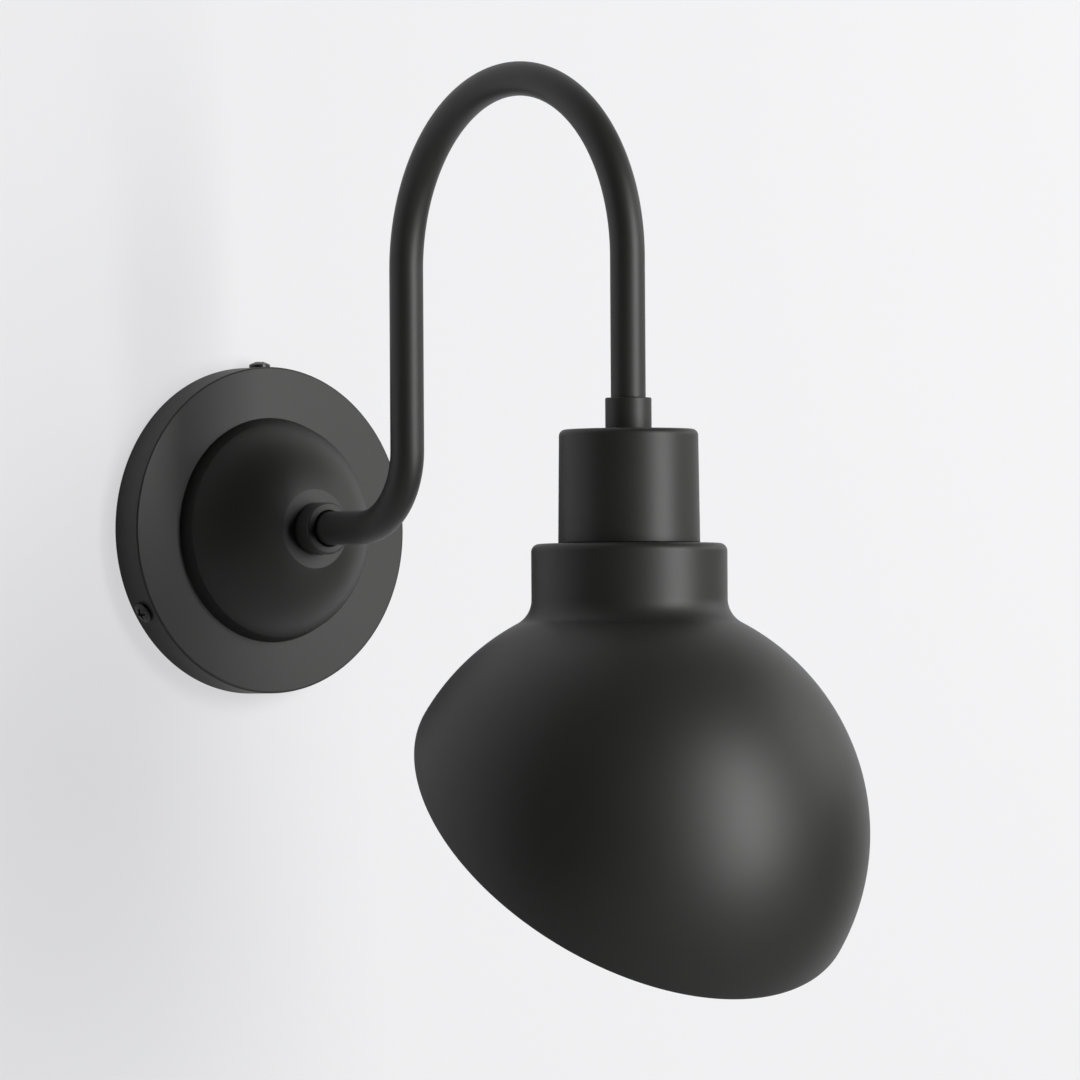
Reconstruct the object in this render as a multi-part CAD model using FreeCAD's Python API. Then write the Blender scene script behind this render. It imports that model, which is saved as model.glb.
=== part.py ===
"""Gooseneck wall sconce with an angled bowl shade, as separate pieces.

Row frame in millimetres: the wall is the plane Y = 0, the sconce stands out towards -Y, +Z is up,
and the origin is the centre of the round canopy on the wall. Each piece is written to parts/NODE.step.
"""

import FreeCAD
import Part
import math
import os

V = FreeCAD.Vector
TAU = 2.0 * math.pi

# ---- clearances -------------------------------------------------------------
FIT_GAP = 0.06             # radial gap of a piece pushed or screwed into another
RUN_GAP = 0.05             # radial gap of a piece that turns on another
SEAT_GAP = 0.2             # gap between faces that turn against each other
FREE_GAP = 0.3             # gap between pieces that must never rub

# ---- canopy: the round cover on the wall ------------------------------------
CANOPY_DIAMETER = 127.0
CANOPY_DEPTH = 14.8        # wall to the flat front face
CANOPY_WALL = 1.5
CANOPY_EDGE = 0.9          # rounding of the front edge
STEP_FOOT_DIAMETER = 87.0  # where the raised boss leaves the flat face
STEP_DRAFT = 1.7           # how far the step leans in
STEP_HEIGHT = 6.0          # flat face to where the ball-shaped dome starts
DOME_HEIGHT = 29.3         # flat face to the seat on top of the dome
SEAT_DIAMETER = 30.6       # flat seat for the collar

# ---- screws round the rim ---------------------------------------------------
RIM_SCREW_COUNT = 3
RIM_SCREW_FIRST_ANGLE = 90.0
SCREW_SHANK_DIAMETER = 4.0
SCREW_HEAD_DIAMETER = 8.2
SCREW_HEAD_HEIGHT = 2.3
SCREW_HOLE_DIAMETER = 4.6
DRIVE_WIDTH = 1.1
DRIVE_LENGTH = 4.6
DRIVE_DEPTH = 1.2

# ---- mounting plate behind the canopy ---------------------------------------
PLATE_THICKNESS = 2.0
PLATE_MARGIN = 5.0         # canopy's inner wall to the edge of the plate
WIRE_HOLE_DIAMETER = 32.0
BOX_SLOT_SPACING = 79.4    # midway between the two usual box screw spacings
BOX_SLOT_LENGTH = 15.0
BOX_SLOT_WIDTH = 5.0
TAB_WIDTH = 15.0
TAB_FRONT_GAP = 1.0        # tab to the inside of the canopy's face
TAB_BEND_RADIUS = 1.0
GROUND_SCREW_RADIUS = 30.0
GROUND_SCREW_ANGLE = 225.0
GROUND_HEAD_DIAMETER = 7.6
GROUND_HEAD_HEIGHT = 2.0
GROUND_SHANK_LENGTH = 1.8

# ---- threaded nipples, nuts and washers -------------------------------------
NIPPLE_DIAMETER = 10.0
NIPPLE_BORE = 6.8
NUT_ACROSS_FLATS = 14.0
NUT_HEIGHT = 3.5
WASHER_DIAMETER = 16.0
WASHER_THICKNESS = 1.0
WASHER_SPLIT = 1.2
THREAD_END = 4.0           # how far a nipple stands past its nut

# ---- collar where the arm leaves the canopy ---------------------------------
COLLAR_DIAMETER = 20.2
COLLAR_LENGTH = 9.2
COLLAR_EDGE = 1.0
COLLAR_SOCKET = 5.4        # depth of the arm in the collar
MOUTH_DIAMETER = 14.3      # flared mouth round the arm
MOUTH_DEPTH = 1.4

# ---- gooseneck arm ----------------------------------------------------------
ARM_DIAMETER = 13.0
ARM_WALL = 1.2
ARM_RISE_DISTANCE = 104.6  # wall to the axis of the rising leg
ARM_BEND_RADIUS = 29.1
ARM_ARCH_RADIUS = 69.5
ARM_ARCH_HEIGHT = 97.5     # canopy centre to the centre of the arch

# ---- ferrule and cup over the lampholder ------------------------------------
FERRULE_DIAMETER = 17.2
FERRULE_HEIGHT = 11.7
FERRULE_SOCKET = 5.8       # depth of the arm in the ferrule
FERRULE_EDGE = 0.5
CUP_TOP_HEIGHT = 33.3      # above the canopy centre
CUP_LENGTH = 42.1
CUP_TOP_DIAMETER = 51.6
CUP_BOTTOM_DIAMETER = 52.6
CUP_WALL = 1.2
CUP_EDGE = 2.6

# ---- lampholder (E26) -------------------------------------------------------
HOLDER_DIAMETER = 39.6
HOLDER_BOTTOM_DROP = 33.0  # cup's lower edge to the holder's mouth
HOLDER_CAP_HEIGHT = 18.0
HOLDER_CAP_WALL = 2.2
HOLDER_CAP_ROOF = 4.0
HOLDER_CAP_DROP = 9.0      # underside of the cup's top to the top of the cap
HOLDER_FLOOR = 10.0        # solid ring between the screw shell and the terminals
SHELL_BORE = 26.5
SHELL_WALL = 0.6
SHELL_LIP = 1.2            # the shell's top turned in under the holder's shoulder
SHELL_MOUTH_GAP = 2.9      # holder's mouth to the shell's lower edge
CONTACT_DIAMETER = 11.0
CONTACT_THICKNESS = 0.8
CONTACT_STEM_DIAMETER = 3.0
CONTACT_REST_GAP = 2.6     # button to the floor above it
CONTACT_SHELL_GAP = 1.2    # button to the shell's top, along the axis
CONTACT_STEM_LENGTH = 9.0
TERMINAL_SPACING = 23.0
TERMINAL_HEAD_DIAMETER = 6.0
TERMINAL_HEAD_HEIGHT = 2.0
TERMINAL_SHANK_DIAMETER = 3.2
TERMINAL_SHANK_LENGTH = 4.5

# ---- shade ------------------------------------------------------------------
SHADE_RADIUS = 88.5
SHADE_WALL = 1.2
SHADE_CENTRE_DROP = 107.5  # top of the neck to the centre of the bowl
NECK_DIAMETER = 72.7
NECK_EDGE = 3.0
NECK_FILLET = 10.0
SHADE_TILT = 43.6          # the cut's angle from level
SHADE_CUT_INSET = 1.3      # how far short of a half ball the cut stops
RING_THICKNESS = 6.0
RING_DIAMETER = 50.0
RING_NOTCH_COUNT = 12
RING_NOTCH_RADIUS = 1.6

# ---- leads ------------------------------------------------------------------
LEAD_DIAMETER = 2.2
LEAD_SPACING = 2.9
LEAD_END_DISTANCE = 6.0    # wall to the leads' ends inside the canopy
LEAD_TERMINAL_GAP = 0.1

# ---- worked out from the above ----------------------------------------------
CANOPY_R = CANOPY_DIAMETER / 2.0
CANOPY_INNER_R = CANOPY_R - CANOPY_WALL
SEAT_OUT = CANOPY_DEPTH + DOME_HEIGHT
SEAT_R = SEAT_DIAMETER / 2.0
STEP_FOOT_R = STEP_FOOT_DIAMETER / 2.0
STEP_TOP_R = STEP_FOOT_R - STEP_DRAFT
STEP_TOP_OUT = CANOPY_DEPTH + STEP_HEIGHT
# the dome's ball goes through the top of the step and the edge of the seat
DOME_CENTRE_OUT = (STEP_TOP_R**2 + STEP_TOP_OUT**2 - SEAT_R**2 - SEAT_OUT**2) / (
    2.0 * (STEP_TOP_OUT - SEAT_OUT)
)
DOME_RADIUS = math.hypot(SEAT_R, SEAT_OUT - DOME_CENTRE_OUT)
INNER_SEAT_OUT = SEAT_OUT - CANOPY_WALL
RIM_MID_OUT = CANOPY_DEPTH / 2.0
NIPPLE_R = NIPPLE_DIAMETER / 2.0
NIPPLE_HOLE_R = NIPPLE_R + FIT_GAP
COLLAR_FRONT_OUT = SEAT_OUT + COLLAR_LENGTH
ARM_R = ARM_DIAMETER / 2.0
ARM_START_OUT = COLLAR_FRONT_OUT - COLLAR_SOCKET
ARM_FALL_DISTANCE = ARM_RISE_DISTANCE + 2.0 * ARM_ARCH_RADIUS
SHADE_AXIS_Y = -ARM_FALL_DISTANCE
FERRULE_TOP = CUP_TOP_HEIGHT + FERRULE_HEIGHT
ARM_END_Z = FERRULE_TOP - FERRULE_SOCKET
CUP_INNER_TOP = CUP_TOP_HEIGHT - CUP_WALL
CUP_BOTTOM = CUP_TOP_HEIGHT - CUP_LENGTH
HOLDER_R = HOLDER_DIAMETER / 2.0
HOLDER_CAP_TOP = CUP_INNER_TOP - HOLDER_CAP_DROP
HOLDER_TOP = HOLDER_CAP_TOP - HOLDER_CAP_HEIGHT
HOLDER_FLOOR_Z = HOLDER_TOP - HOLDER_FLOOR
HOLDER_BOTTOM = CUP_BOTTOM - HOLDER_BOTTOM_DROP
SHELL_R = SHELL_BORE / 2.0 + SHELL_WALL
CONTACT_TOP = HOLDER_FLOOR_Z - CONTACT_REST_GAP
SHELL_TOP = CONTACT_TOP - CONTACT_THICKNESS - CONTACT_SHELL_GAP
SHELL_BOTTOM = HOLDER_BOTTOM + SHELL_MOUTH_GAP
NECK_TOP = CUP_BOTTOM - SEAT_GAP
NECK_R = NECK_DIAMETER / 2.0
SHADE_CENTRE_Z = NECK_TOP - SHADE_CENTRE_DROP
RING_TOP = NECK_TOP - SHADE_WALL - SEAT_GAP


# ---- helpers ----------------------------------------------------------------
class Profile:
    """A closed outline in the half plane (radius, height), drawn edge by edge."""

    def __init__(self, radius, height):
        self.start = V(radius, 0, height)
        self.here = self.start
        self.edges = []

    def line(self, radius, height):
        end = V(radius, 0, height)
        self.edges.append(Part.LineSegment(self.here, end).toShape())
        self.here = end
        return self

    def arc(self, centre_radius, centre_height, radius, height):
        """The shorter arc from here to the given point about the given centre."""
        centre = V(centre_radius, 0, centre_height)
        end = V(radius, 0, height)
        size = (self.here - centre).Length
        middle = (self.here - centre) + (end - centre)
        middle = centre + middle.multiply(size / middle.Length)
        self.edges.append(Part.Arc(self.here, middle, end).toShape())
        self.here = end
        return self

    def revolved(self):
        self.line(self.start.x, self.start.z)
        face = Part.Face(Part.Wire(self.edges))
        return face.revolve(V(0, 0, 0), V(0, 0, 1), 360)


def facing_out(shape):
    """Turns a shape made along +Z so that it stands out of the wall, along -Y."""
    shape.rotate(V(0, 0, 0), V(1, 0, 0), 90)
    return shape


def on_shade_axis(shape):
    shape.translate(V(0, SHADE_AXIS_Y, 0))
    return shape


def tube(outer_radius, inner_radius, bottom, top):
    body = Part.makeCylinder(outer_radius, top - bottom, V(0, 0, bottom))
    return body.cut(Part.makeCylinder(inner_radius, top - bottom, V(0, 0, bottom)))


def hex_nut(bottom):
    """A hexagon nut on the Z axis, its corners turned down, with the nipple's hole."""
    corner_r = NUT_ACROSS_FLATS / math.sqrt(3.0)
    corners = [
        V(corner_r * math.cos(i * TAU / 6), corner_r * math.sin(i * TAU / 6), bottom)
        for i in range(7)
    ]
    nut = Part.Face(Part.makePolygon(corners)).extrude(V(0, 0, NUT_HEIGHT))
    turned = corner_r - NUT_ACROSS_FLATS / 2.0
    top = bottom + NUT_HEIGHT
    blank = Profile(0, bottom).line(corner_r - turned, bottom).line(corner_r, bottom + turned / 2)
    blank.line(corner_r, top - turned / 2).line(corner_r - turned, top).line(0, top)
    hole = Part.makeCylinder(NIPPLE_HOLE_R, NUT_HEIGHT, V(0, 0, bottom))
    return nut.common(blank.revolved()).cut(hole)


def pan_screw(head_diameter, head_height, shank_diameter, shank_length):
    """A pan head screw on the Z axis: head above Z = 0, shank below, with a cross recess."""
    head_r = head_diameter / 2.0
    shank_r = shank_diameter / 2.0
    side = head_height * 0.45
    drop = head_height - side
    crown_r = (head_r**2 + drop**2) / (2.0 * drop)
    outline = Profile(0, -shank_length).line(shank_r, -shank_length).line(shank_r, 0)
    outline.line(head_r, 0).line(head_r, side)
    outline.arc(0, head_height - crown_r, 0, head_height)
    screw = outline.revolved()
    for angle in (0, 90):
        slot = Part.makeBox(
            DRIVE_LENGTH, DRIVE_WIDTH, DRIVE_DEPTH,
            V(-DRIVE_LENGTH / 2, -DRIVE_WIDTH / 2, head_height - DRIVE_DEPTH),
        )
        slot.rotate(V(0, 0, 0), V(0, 0, 1), angle)
        screw = screw.cut(slot)
    return screw


def pipe(path, radius, bore=0.0):
    """A round rod or tube along tangent edges; its volume is checked against its length."""
    wire = Part.Wire(path)
    start = path[0].valueAt(path[0].FirstParameter)
    along = path[0].tangentAt(path[0].FirstParameter)

    def swept(size):
        ring = Part.Wire([Part.Circle(start, along, size).toShape()])
        return wire.makePipeShell([ring], True, False)

    body = swept(radius)
    expected = math.pi * radius**2 * wire.Length
    if abs(body.Volume - expected) > 0.002 * expected:
        raise ValueError("the tube's volume doesn't match its length")
    if bore > 0:
        body = body.cut(swept(bore))
    return body


def line_edge(start, end):
    return Part.LineSegment(start, end).toShape()


def arc_edge(start, middle, end):
    return Part.Arc(start, middle, end).toShape()


def arm_path(x, start_out, end_z):
    """The arm's route in the plane X = x: out of the wall, up, over the arch and down."""
    half = math.sqrt(0.5)
    rise_y = -ARM_RISE_DISTANCE
    turn_y = rise_y + ARM_BEND_RADIUS
    arch_y = rise_y - ARM_ARCH_RADIUS
    turn_middle = V(
        x,
        turn_y - ARM_BEND_RADIUS * half,
        ARM_BEND_RADIUS * (1.0 - half),
    )
    return [
        line_edge(V(x, -start_out, 0), V(x, turn_y, 0)),
        arc_edge(V(x, turn_y, 0), turn_middle, V(x, rise_y, ARM_BEND_RADIUS)),
        line_edge(V(x, rise_y, ARM_BEND_RADIUS), V(x, rise_y, ARM_ARCH_HEIGHT)),
        arc_edge(
            V(x, rise_y, ARM_ARCH_HEIGHT),
            V(x, arch_y, ARM_ARCH_HEIGHT + ARM_ARCH_RADIUS),
            V(x, SHADE_AXIS_Y, ARM_ARCH_HEIGHT),
        ),
        line_edge(V(x, SHADE_AXIS_Y, ARM_ARCH_HEIGHT), V(x, SHADE_AXIS_Y, end_z)),
    ]


def rim_angles():
    step = 360.0 / RIM_SCREW_COUNT
    return [RIM_SCREW_FIRST_ANGLE + i * step for i in range(RIM_SCREW_COUNT)]


# ---- pieces on the wall -----------------------------------------------------
def canopy():
    """Spun cover: straight rim, flat face, small step and a spherical boss with a flat seat."""
    wall = CANOPY_WALL
    inner_dome = DOME_RADIUS - wall
    inner_seat_r = math.sqrt(inner_dome**2 - (INNER_SEAT_OUT - DOME_CENTRE_OUT) ** 2)
    inner_step_r = STEP_TOP_R - wall
    inner_step_out = DOME_CENTRE_OUT + math.sqrt(inner_dome**2 - inner_step_r**2)
    edge_r = CANOPY_R - CANOPY_EDGE
    outline = Profile(CANOPY_R, 0)
    outline.line(CANOPY_R, CANOPY_DEPTH - CANOPY_EDGE)
    outline.arc(edge_r, CANOPY_DEPTH - CANOPY_EDGE, edge_r, CANOPY_DEPTH)
    outline.line(STEP_FOOT_R, CANOPY_DEPTH)
    outline.line(STEP_TOP_R, STEP_TOP_OUT)
    outline.arc(0, DOME_CENTRE_OUT, SEAT_R, SEAT_OUT)
    outline.line(NIPPLE_HOLE_R, SEAT_OUT)
    outline.line(NIPPLE_HOLE_R, INNER_SEAT_OUT)
    outline.line(inner_seat_r, INNER_SEAT_OUT)
    outline.arc(0, DOME_CENTRE_OUT, inner_step_r, inner_step_out)
    outline.line(STEP_FOOT_R - wall, CANOPY_DEPTH - wall)
    outline.line(CANOPY_INNER_R, CANOPY_DEPTH - wall)
    outline.line(CANOPY_INNER_R, 0)
    shell = outline.revolved()
    for angle in rim_angles():
        hole = Part.makeCylinder(
            SCREW_HOLE_DIAMETER / 2.0, 4 * wall, V(CANOPY_R - 3 * wall, 0, RIM_MID_OUT), V(1, 0, 0)
        )
        hole.rotate(V(0, 0, 0), V(0, 0, 1), angle)
        shell = shell.cut(hole)
    return facing_out(shell)


def plate_tab(angle):
    """One bent tab of the mounting plate, with the tapped hole of its rim screw."""
    outer = CANOPY_INNER_R - FREE_GAP
    inner = outer - PLATE_THICKNESS
    top = CANOPY_DEPTH - CANOPY_WALL - TAB_FRONT_GAP
    root = CANOPY_INNER_R - 2.0 * PLATE_MARGIN
    bend = TAB_BEND_RADIUS
    foot = Part.makeBox(outer - root, TAB_WIDTH, PLATE_THICKNESS, V(root, -TAB_WIDTH / 2, 0))
    upright = Part.makeBox(PLATE_THICKNESS, TAB_WIDTH, top, V(inner, -TAB_WIDTH / 2, 0))
    web = Part.makeBox(bend, TAB_WIDTH, bend, V(inner - bend, -TAB_WIDTH / 2, PLATE_THICKNESS))
    web = web.cut(
        Part.makeCylinder(
            bend, TAB_WIDTH, V(inner - bend, -TAB_WIDTH / 2, PLATE_THICKNESS + bend), V(0, 1, 0)
        )
    )
    tab = foot.fuse([upright, web])
    corner_trim = Part.makeCylinder(outer, top, V(0, 0, 0))
    hole = Part.makeCylinder(
        SCREW_SHANK_DIAMETER / 2.0 + FIT_GAP, 3 * PLATE_THICKNESS,
        V(inner - PLATE_THICKNESS, 0, RIM_MID_OUT), V(1, 0, 0),
    )
    tab = tab.common(corner_trim).cut(hole)
    tab.rotate(V(0, 0, 0), V(0, 0, 1), angle)
    return tab


def slot_cutter(x, z, length, width, depth):
    """A slot with round ends along X, centred on (x, z)."""
    straight = length - width
    body = Part.makeBox(straight, width, depth, V(x - straight / 2, z - width / 2, 0))
    ends = [
        Part.makeCylinder(width / 2.0, depth, V(x + side * straight / 2, z, 0)) for side in (-1, 1)
    ]
    return body.fuse(ends)


def mounting_plate():
    """Flat round plate screwed to the wall box; its tabs carry the canopy's rim screws."""
    disc = Part.makeCylinder(CANOPY_INNER_R - PLATE_MARGIN, PLATE_THICKNESS)
    plate = disc.fuse([plate_tab(angle) for angle in rim_angles()])
    cutters = [Part.makeCylinder(WIRE_HOLE_DIAMETER / 2.0, PLATE_THICKNESS)]
    for side in (-1, 1):
        x = side * BOX_SLOT_SPACING / 2.0
        cutters.append(slot_cutter(x, 0, BOX_SLOT_LENGTH, BOX_SLOT_WIDTH, PLATE_THICKNESS))
    ground = ground_screw_place()
    cutters.append(
        Part.makeCylinder(
            SCREW_SHANK_DIAMETER / 2.0 + FIT_GAP, PLATE_THICKNESS, V(ground.x, ground.y, 0)
        )
    )
    for cutter in cutters:
        plate = plate.cut(cutter)
    return facing_out(plate.removeSplitter())


def ground_screw_place():
    """The ground screw's axis on the plate, as (x, z of the wall, height of the plate)."""
    angle = math.radians(GROUND_SCREW_ANGLE)
    return V(
        GROUND_SCREW_RADIUS * math.cos(angle),
        GROUND_SCREW_RADIUS * math.sin(angle),
        PLATE_THICKNESS,
    )


def ground_screw():
    screw = pan_screw(
        GROUND_HEAD_DIAMETER, GROUND_HEAD_HEIGHT, SCREW_SHANK_DIAMETER, GROUND_SHANK_LENGTH
    )
    screw.translate(ground_screw_place())
    return facing_out(screw)


def rim_screw(angle):
    """A pan head screw pointing at the canopy's axis, through the rim into a tab."""
    depth = CANOPY_WALL + FREE_GAP + 2.0 * PLATE_THICKNESS
    screw = pan_screw(SCREW_HEAD_DIAMETER, SCREW_HEAD_HEIGHT, SCREW_SHANK_DIAMETER, depth)
    screw.rotate(V(0, 0, 0), V(0, 1, 0), 90)
    screw.translate(V(CANOPY_R, 0, RIM_MID_OUT))
    screw.rotate(V(0, 0, 0), V(0, 0, 1), angle)
    return facing_out(screw)


# ---- arm and its fixings ----------------------------------------------------
def canopy_nut_out():
    """Distance from the wall to the back of the nut inside the canopy."""
    return INNER_SEAT_OUT - WASHER_THICKNESS - NUT_HEIGHT


def canopy_nipple():
    return facing_out(
        tube(NIPPLE_R, NIPPLE_BORE / 2.0, canopy_nut_out() - THREAD_END, ARM_START_OUT)
    )


def canopy_nut():
    return facing_out(hex_nut(canopy_nut_out()))


def lock_washer():
    """Split washer between the nut and the inside of the canopy."""
    bottom = INNER_SEAT_OUT - WASHER_THICKNESS
    ring = tube(WASHER_DIAMETER / 2.0, NIPPLE_HOLE_R, bottom, INNER_SEAT_OUT)
    split = Part.makeBox(
        WASHER_DIAMETER, WASHER_SPLIT, WASHER_THICKNESS, V(0, -WASHER_SPLIT / 2, bottom)
    )
    return facing_out(ring.cut(split))


def collar():
    """Turned collar on the seat; the nipple screws in behind, the arm enters in front."""
    arm_hole_r = ARM_R + FIT_GAP
    outer_r = COLLAR_DIAMETER / 2.0
    front = COLLAR_FRONT_OUT
    outline = Profile(outer_r, SEAT_OUT)
    outline.line(outer_r, front - COLLAR_EDGE)
    outline.arc(outer_r - COLLAR_EDGE, front - COLLAR_EDGE, outer_r - COLLAR_EDGE, front)
    outline.line(MOUTH_DIAMETER / 2.0, front)
    outline.line(arm_hole_r, front - MOUTH_DEPTH)
    outline.line(arm_hole_r, ARM_START_OUT)
    outline.line(NIPPLE_HOLE_R, ARM_START_OUT)
    outline.line(NIPPLE_HOLE_R, SEAT_OUT)
    return facing_out(outline.revolved())


def gooseneck_arm():
    path = arm_path(0, ARM_START_OUT, ARM_END_Z)
    return pipe(path, ARM_R, ARM_R - ARM_WALL)


def ferrule():
    """Turned coupling at the arm's lower end, standing on the cup."""
    arm_hole_r = ARM_R + FIT_GAP
    outer_r = FERRULE_DIAMETER / 2.0
    outline = Profile(outer_r, CUP_TOP_HEIGHT)
    outline.line(outer_r, FERRULE_TOP - FERRULE_EDGE)
    outline.line(outer_r - FERRULE_EDGE, FERRULE_TOP)
    outline.line(arm_hole_r, FERRULE_TOP)
    outline.line(arm_hole_r, ARM_END_Z)
    outline.line(NIPPLE_HOLE_R, ARM_END_Z)
    outline.line(NIPPLE_HOLE_R, CUP_TOP_HEIGHT)
    return on_shade_axis(outline.revolved())


def cup_nipple():
    bottom = HOLDER_CAP_TOP - HOLDER_CAP_ROOF
    return on_shade_axis(tube(NIPPLE_R, NIPPLE_BORE / 2.0, bottom, ARM_END_Z))


def cup_nut():
    return on_shade_axis(hex_nut(CUP_INNER_TOP - NUT_HEIGHT))


def socket_cup():
    """Spun cup over the lampholder, a little wider at its open lower edge."""
    top_r = CUP_TOP_DIAMETER / 2.0
    bottom_r = CUP_BOTTOM_DIAMETER / 2.0
    edge_z = CUP_TOP_HEIGHT - CUP_EDGE
    inner_edge = CUP_EDGE - CUP_WALL
    inner_top_r = top_r - CUP_WALL
    outline = Profile(NIPPLE_HOLE_R, CUP_TOP_HEIGHT)
    outline.line(top_r - CUP_EDGE, CUP_TOP_HEIGHT)
    outline.arc(top_r - CUP_EDGE, edge_z, top_r, edge_z)
    outline.line(bottom_r, CUP_BOTTOM)
    outline.line(bottom_r - CUP_WALL, CUP_BOTTOM)
    outline.line(inner_top_r, edge_z)
    outline.arc(inner_top_r - inner_edge, edge_z, inner_top_r - inner_edge, CUP_INNER_TOP)
    outline.line(NIPPLE_HOLE_R, CUP_INNER_TOP)
    return on_shade_axis(outline.revolved())


# ---- lampholder -------------------------------------------------------------
def lampholder_cap():
    """Moulded cap screwed on the nipple; it roofs the terminals."""
    roof = HOLDER_CAP_TOP - HOLDER_CAP_ROOF
    edge = HOLDER_CAP_WALL
    inner_r = HOLDER_R - HOLDER_CAP_WALL
    outline = Profile(NIPPLE_HOLE_R, HOLDER_CAP_TOP)
    outline.line(HOLDER_R - edge, HOLDER_CAP_TOP)
    outline.arc(HOLDER_R - edge, HOLDER_CAP_TOP - edge, HOLDER_R, HOLDER_CAP_TOP - edge)
    outline.line(HOLDER_R, HOLDER_TOP)
    outline.line(inner_r, HOLDER_TOP)
    outline.line(inner_r, roof)
    outline.line(NIPPLE_HOLE_R, roof)
    return on_shade_axis(outline.revolved())


def lampholder_body():
    """Moulded sleeve round the screw shell, with a shoulder and a floor above it."""
    shell_room = SHELL_R + FIT_GAP
    stem_hole_r = CONTACT_STEM_DIAMETER / 2.0 + RUN_GAP
    outline = Profile(HOLDER_R, HOLDER_TOP)
    outline.line(HOLDER_R, HOLDER_BOTTOM)
    outline.line(shell_room, HOLDER_BOTTOM)
    outline.line(shell_room, SHELL_TOP)
    outline.line(SHELL_BORE / 2.0 - SHELL_LIP, SHELL_TOP)
    outline.line(SHELL_BORE / 2.0 - SHELL_LIP, HOLDER_FLOOR_Z)
    outline.line(stem_hole_r, HOLDER_FLOOR_Z)
    outline.line(stem_hole_r, HOLDER_TOP)
    body = outline.revolved()
    for side in (-1, 1):
        hole = Part.makeCylinder(
            TERMINAL_SHANK_DIAMETER / 2.0 + FIT_GAP, TERMINAL_SHANK_LENGTH,
            V(side * TERMINAL_SPACING / 2.0, 0, HOLDER_TOP - TERMINAL_SHANK_LENGTH),
        )
        body = body.cut(hole)
    return on_shade_axis(body)


def screw_shell():
    """Thin brass shell that takes the lamp's screw cap, lipped in at its top."""
    bore_r = SHELL_BORE / 2.0
    outline = Profile(SHELL_R, SHELL_TOP)
    outline.line(SHELL_R, SHELL_BOTTOM)
    outline.line(bore_r, SHELL_BOTTOM)
    outline.line(bore_r, SHELL_TOP - SHELL_WALL)
    outline.line(bore_r - SHELL_LIP, SHELL_TOP - SHELL_WALL)
    outline.line(bore_r - SHELL_LIP, SHELL_TOP)
    return on_shade_axis(outline.revolved())


def centre_contact():
    """Brass button on a stem that slides up through the holder's floor."""
    stem_r = CONTACT_STEM_DIAMETER / 2.0
    button_bottom = CONTACT_TOP - CONTACT_THICKNESS
    crown = CONTACT_THICKNESS / 2.0
    outline = Profile(0, button_bottom)
    outline.line(CONTACT_DIAMETER / 2.0 - crown, button_bottom)
    outline.line(CONTACT_DIAMETER / 2.0, button_bottom + crown)
    outline.line(CONTACT_DIAMETER / 2.0, CONTACT_TOP)
    outline.line(stem_r, CONTACT_TOP)
    outline.line(stem_r, CONTACT_TOP + CONTACT_STEM_LENGTH)
    outline.line(0, CONTACT_TOP + CONTACT_STEM_LENGTH)
    return on_shade_axis(outline.revolved())


def terminal_screw(side):
    screw = pan_screw(
        TERMINAL_HEAD_DIAMETER, TERMINAL_HEAD_HEIGHT, TERMINAL_SHANK_DIAMETER, TERMINAL_SHANK_LENGTH
    )
    screw.translate(V(side * TERMINAL_SPACING / 2.0, 0, HOLDER_TOP))
    return on_shade_axis(screw)


# ---- shade ------------------------------------------------------------------
def bowl_bends(neck_r, ball_r, fillet):
    """The neck fillet's centre and the point where it runs into the ball, as (radius, height)."""
    reach = ball_r + fillet
    fillet_r = neck_r + fillet
    fillet_rise = math.sqrt(reach**2 - fillet_r**2)
    share = ball_r / reach
    joint = (fillet_r * share, SHADE_CENTRE_Z + fillet_rise * share)
    return (fillet_r, SHADE_CENTRE_Z + fillet_rise), joint


def shade():
    """Spun steel shade: flat top with the holder's hole, neck, fillet and ball, cut at a tilt."""
    low = math.radians(SHADE_TILT + 15.0)
    hole_r = HOLDER_R + FREE_GAP
    inner_ball = SHADE_RADIUS - SHADE_WALL
    inner_neck = NECK_R - SHADE_WALL
    inner_top = NECK_TOP - SHADE_WALL
    shoulder_r = NECK_R - NECK_EDGE
    shoulder_z = NECK_TOP - NECK_EDGE
    outer_fillet, outer_joint = bowl_bends(NECK_R, SHADE_RADIUS, NECK_FILLET)
    inner_fillet, inner_joint = bowl_bends(inner_neck, inner_ball, NECK_FILLET + SHADE_WALL)
    outline = Profile(hole_r, NECK_TOP)
    outline.line(shoulder_r, NECK_TOP)
    outline.arc(shoulder_r, shoulder_z, NECK_R, shoulder_z)
    outline.line(NECK_R, outer_fillet[1])
    outline.arc(*outer_fillet, *outer_joint)
    outline.arc(
        0, SHADE_CENTRE_Z,
        SHADE_RADIUS * math.cos(low), SHADE_CENTRE_Z - SHADE_RADIUS * math.sin(low),
    )
    outline.line(inner_ball * math.cos(low), SHADE_CENTRE_Z - inner_ball * math.sin(low))
    outline.arc(0, SHADE_CENTRE_Z, *inner_joint)
    outline.arc(*inner_fillet, inner_neck, inner_fillet[1])
    outline.line(inner_neck, shoulder_z)
    outline.arc(shoulder_r, shoulder_z, shoulder_r, inner_top)
    outline.line(hole_r, inner_top)
    shell = outline.revolved()
    size = 3.0 * SHADE_RADIUS
    waste = Part.makeBox(2 * size, 2 * size, size, V(-size, -size, -size))
    waste.translate(V(0, 0, SHADE_CUT_INSET))
    waste.rotate(V(0, 0, 0), V(1, 0, 0), SHADE_TILT)
    waste.translate(V(0, 0, SHADE_CENTRE_Z))
    return on_shade_axis(shell.cut(waste))


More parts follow.
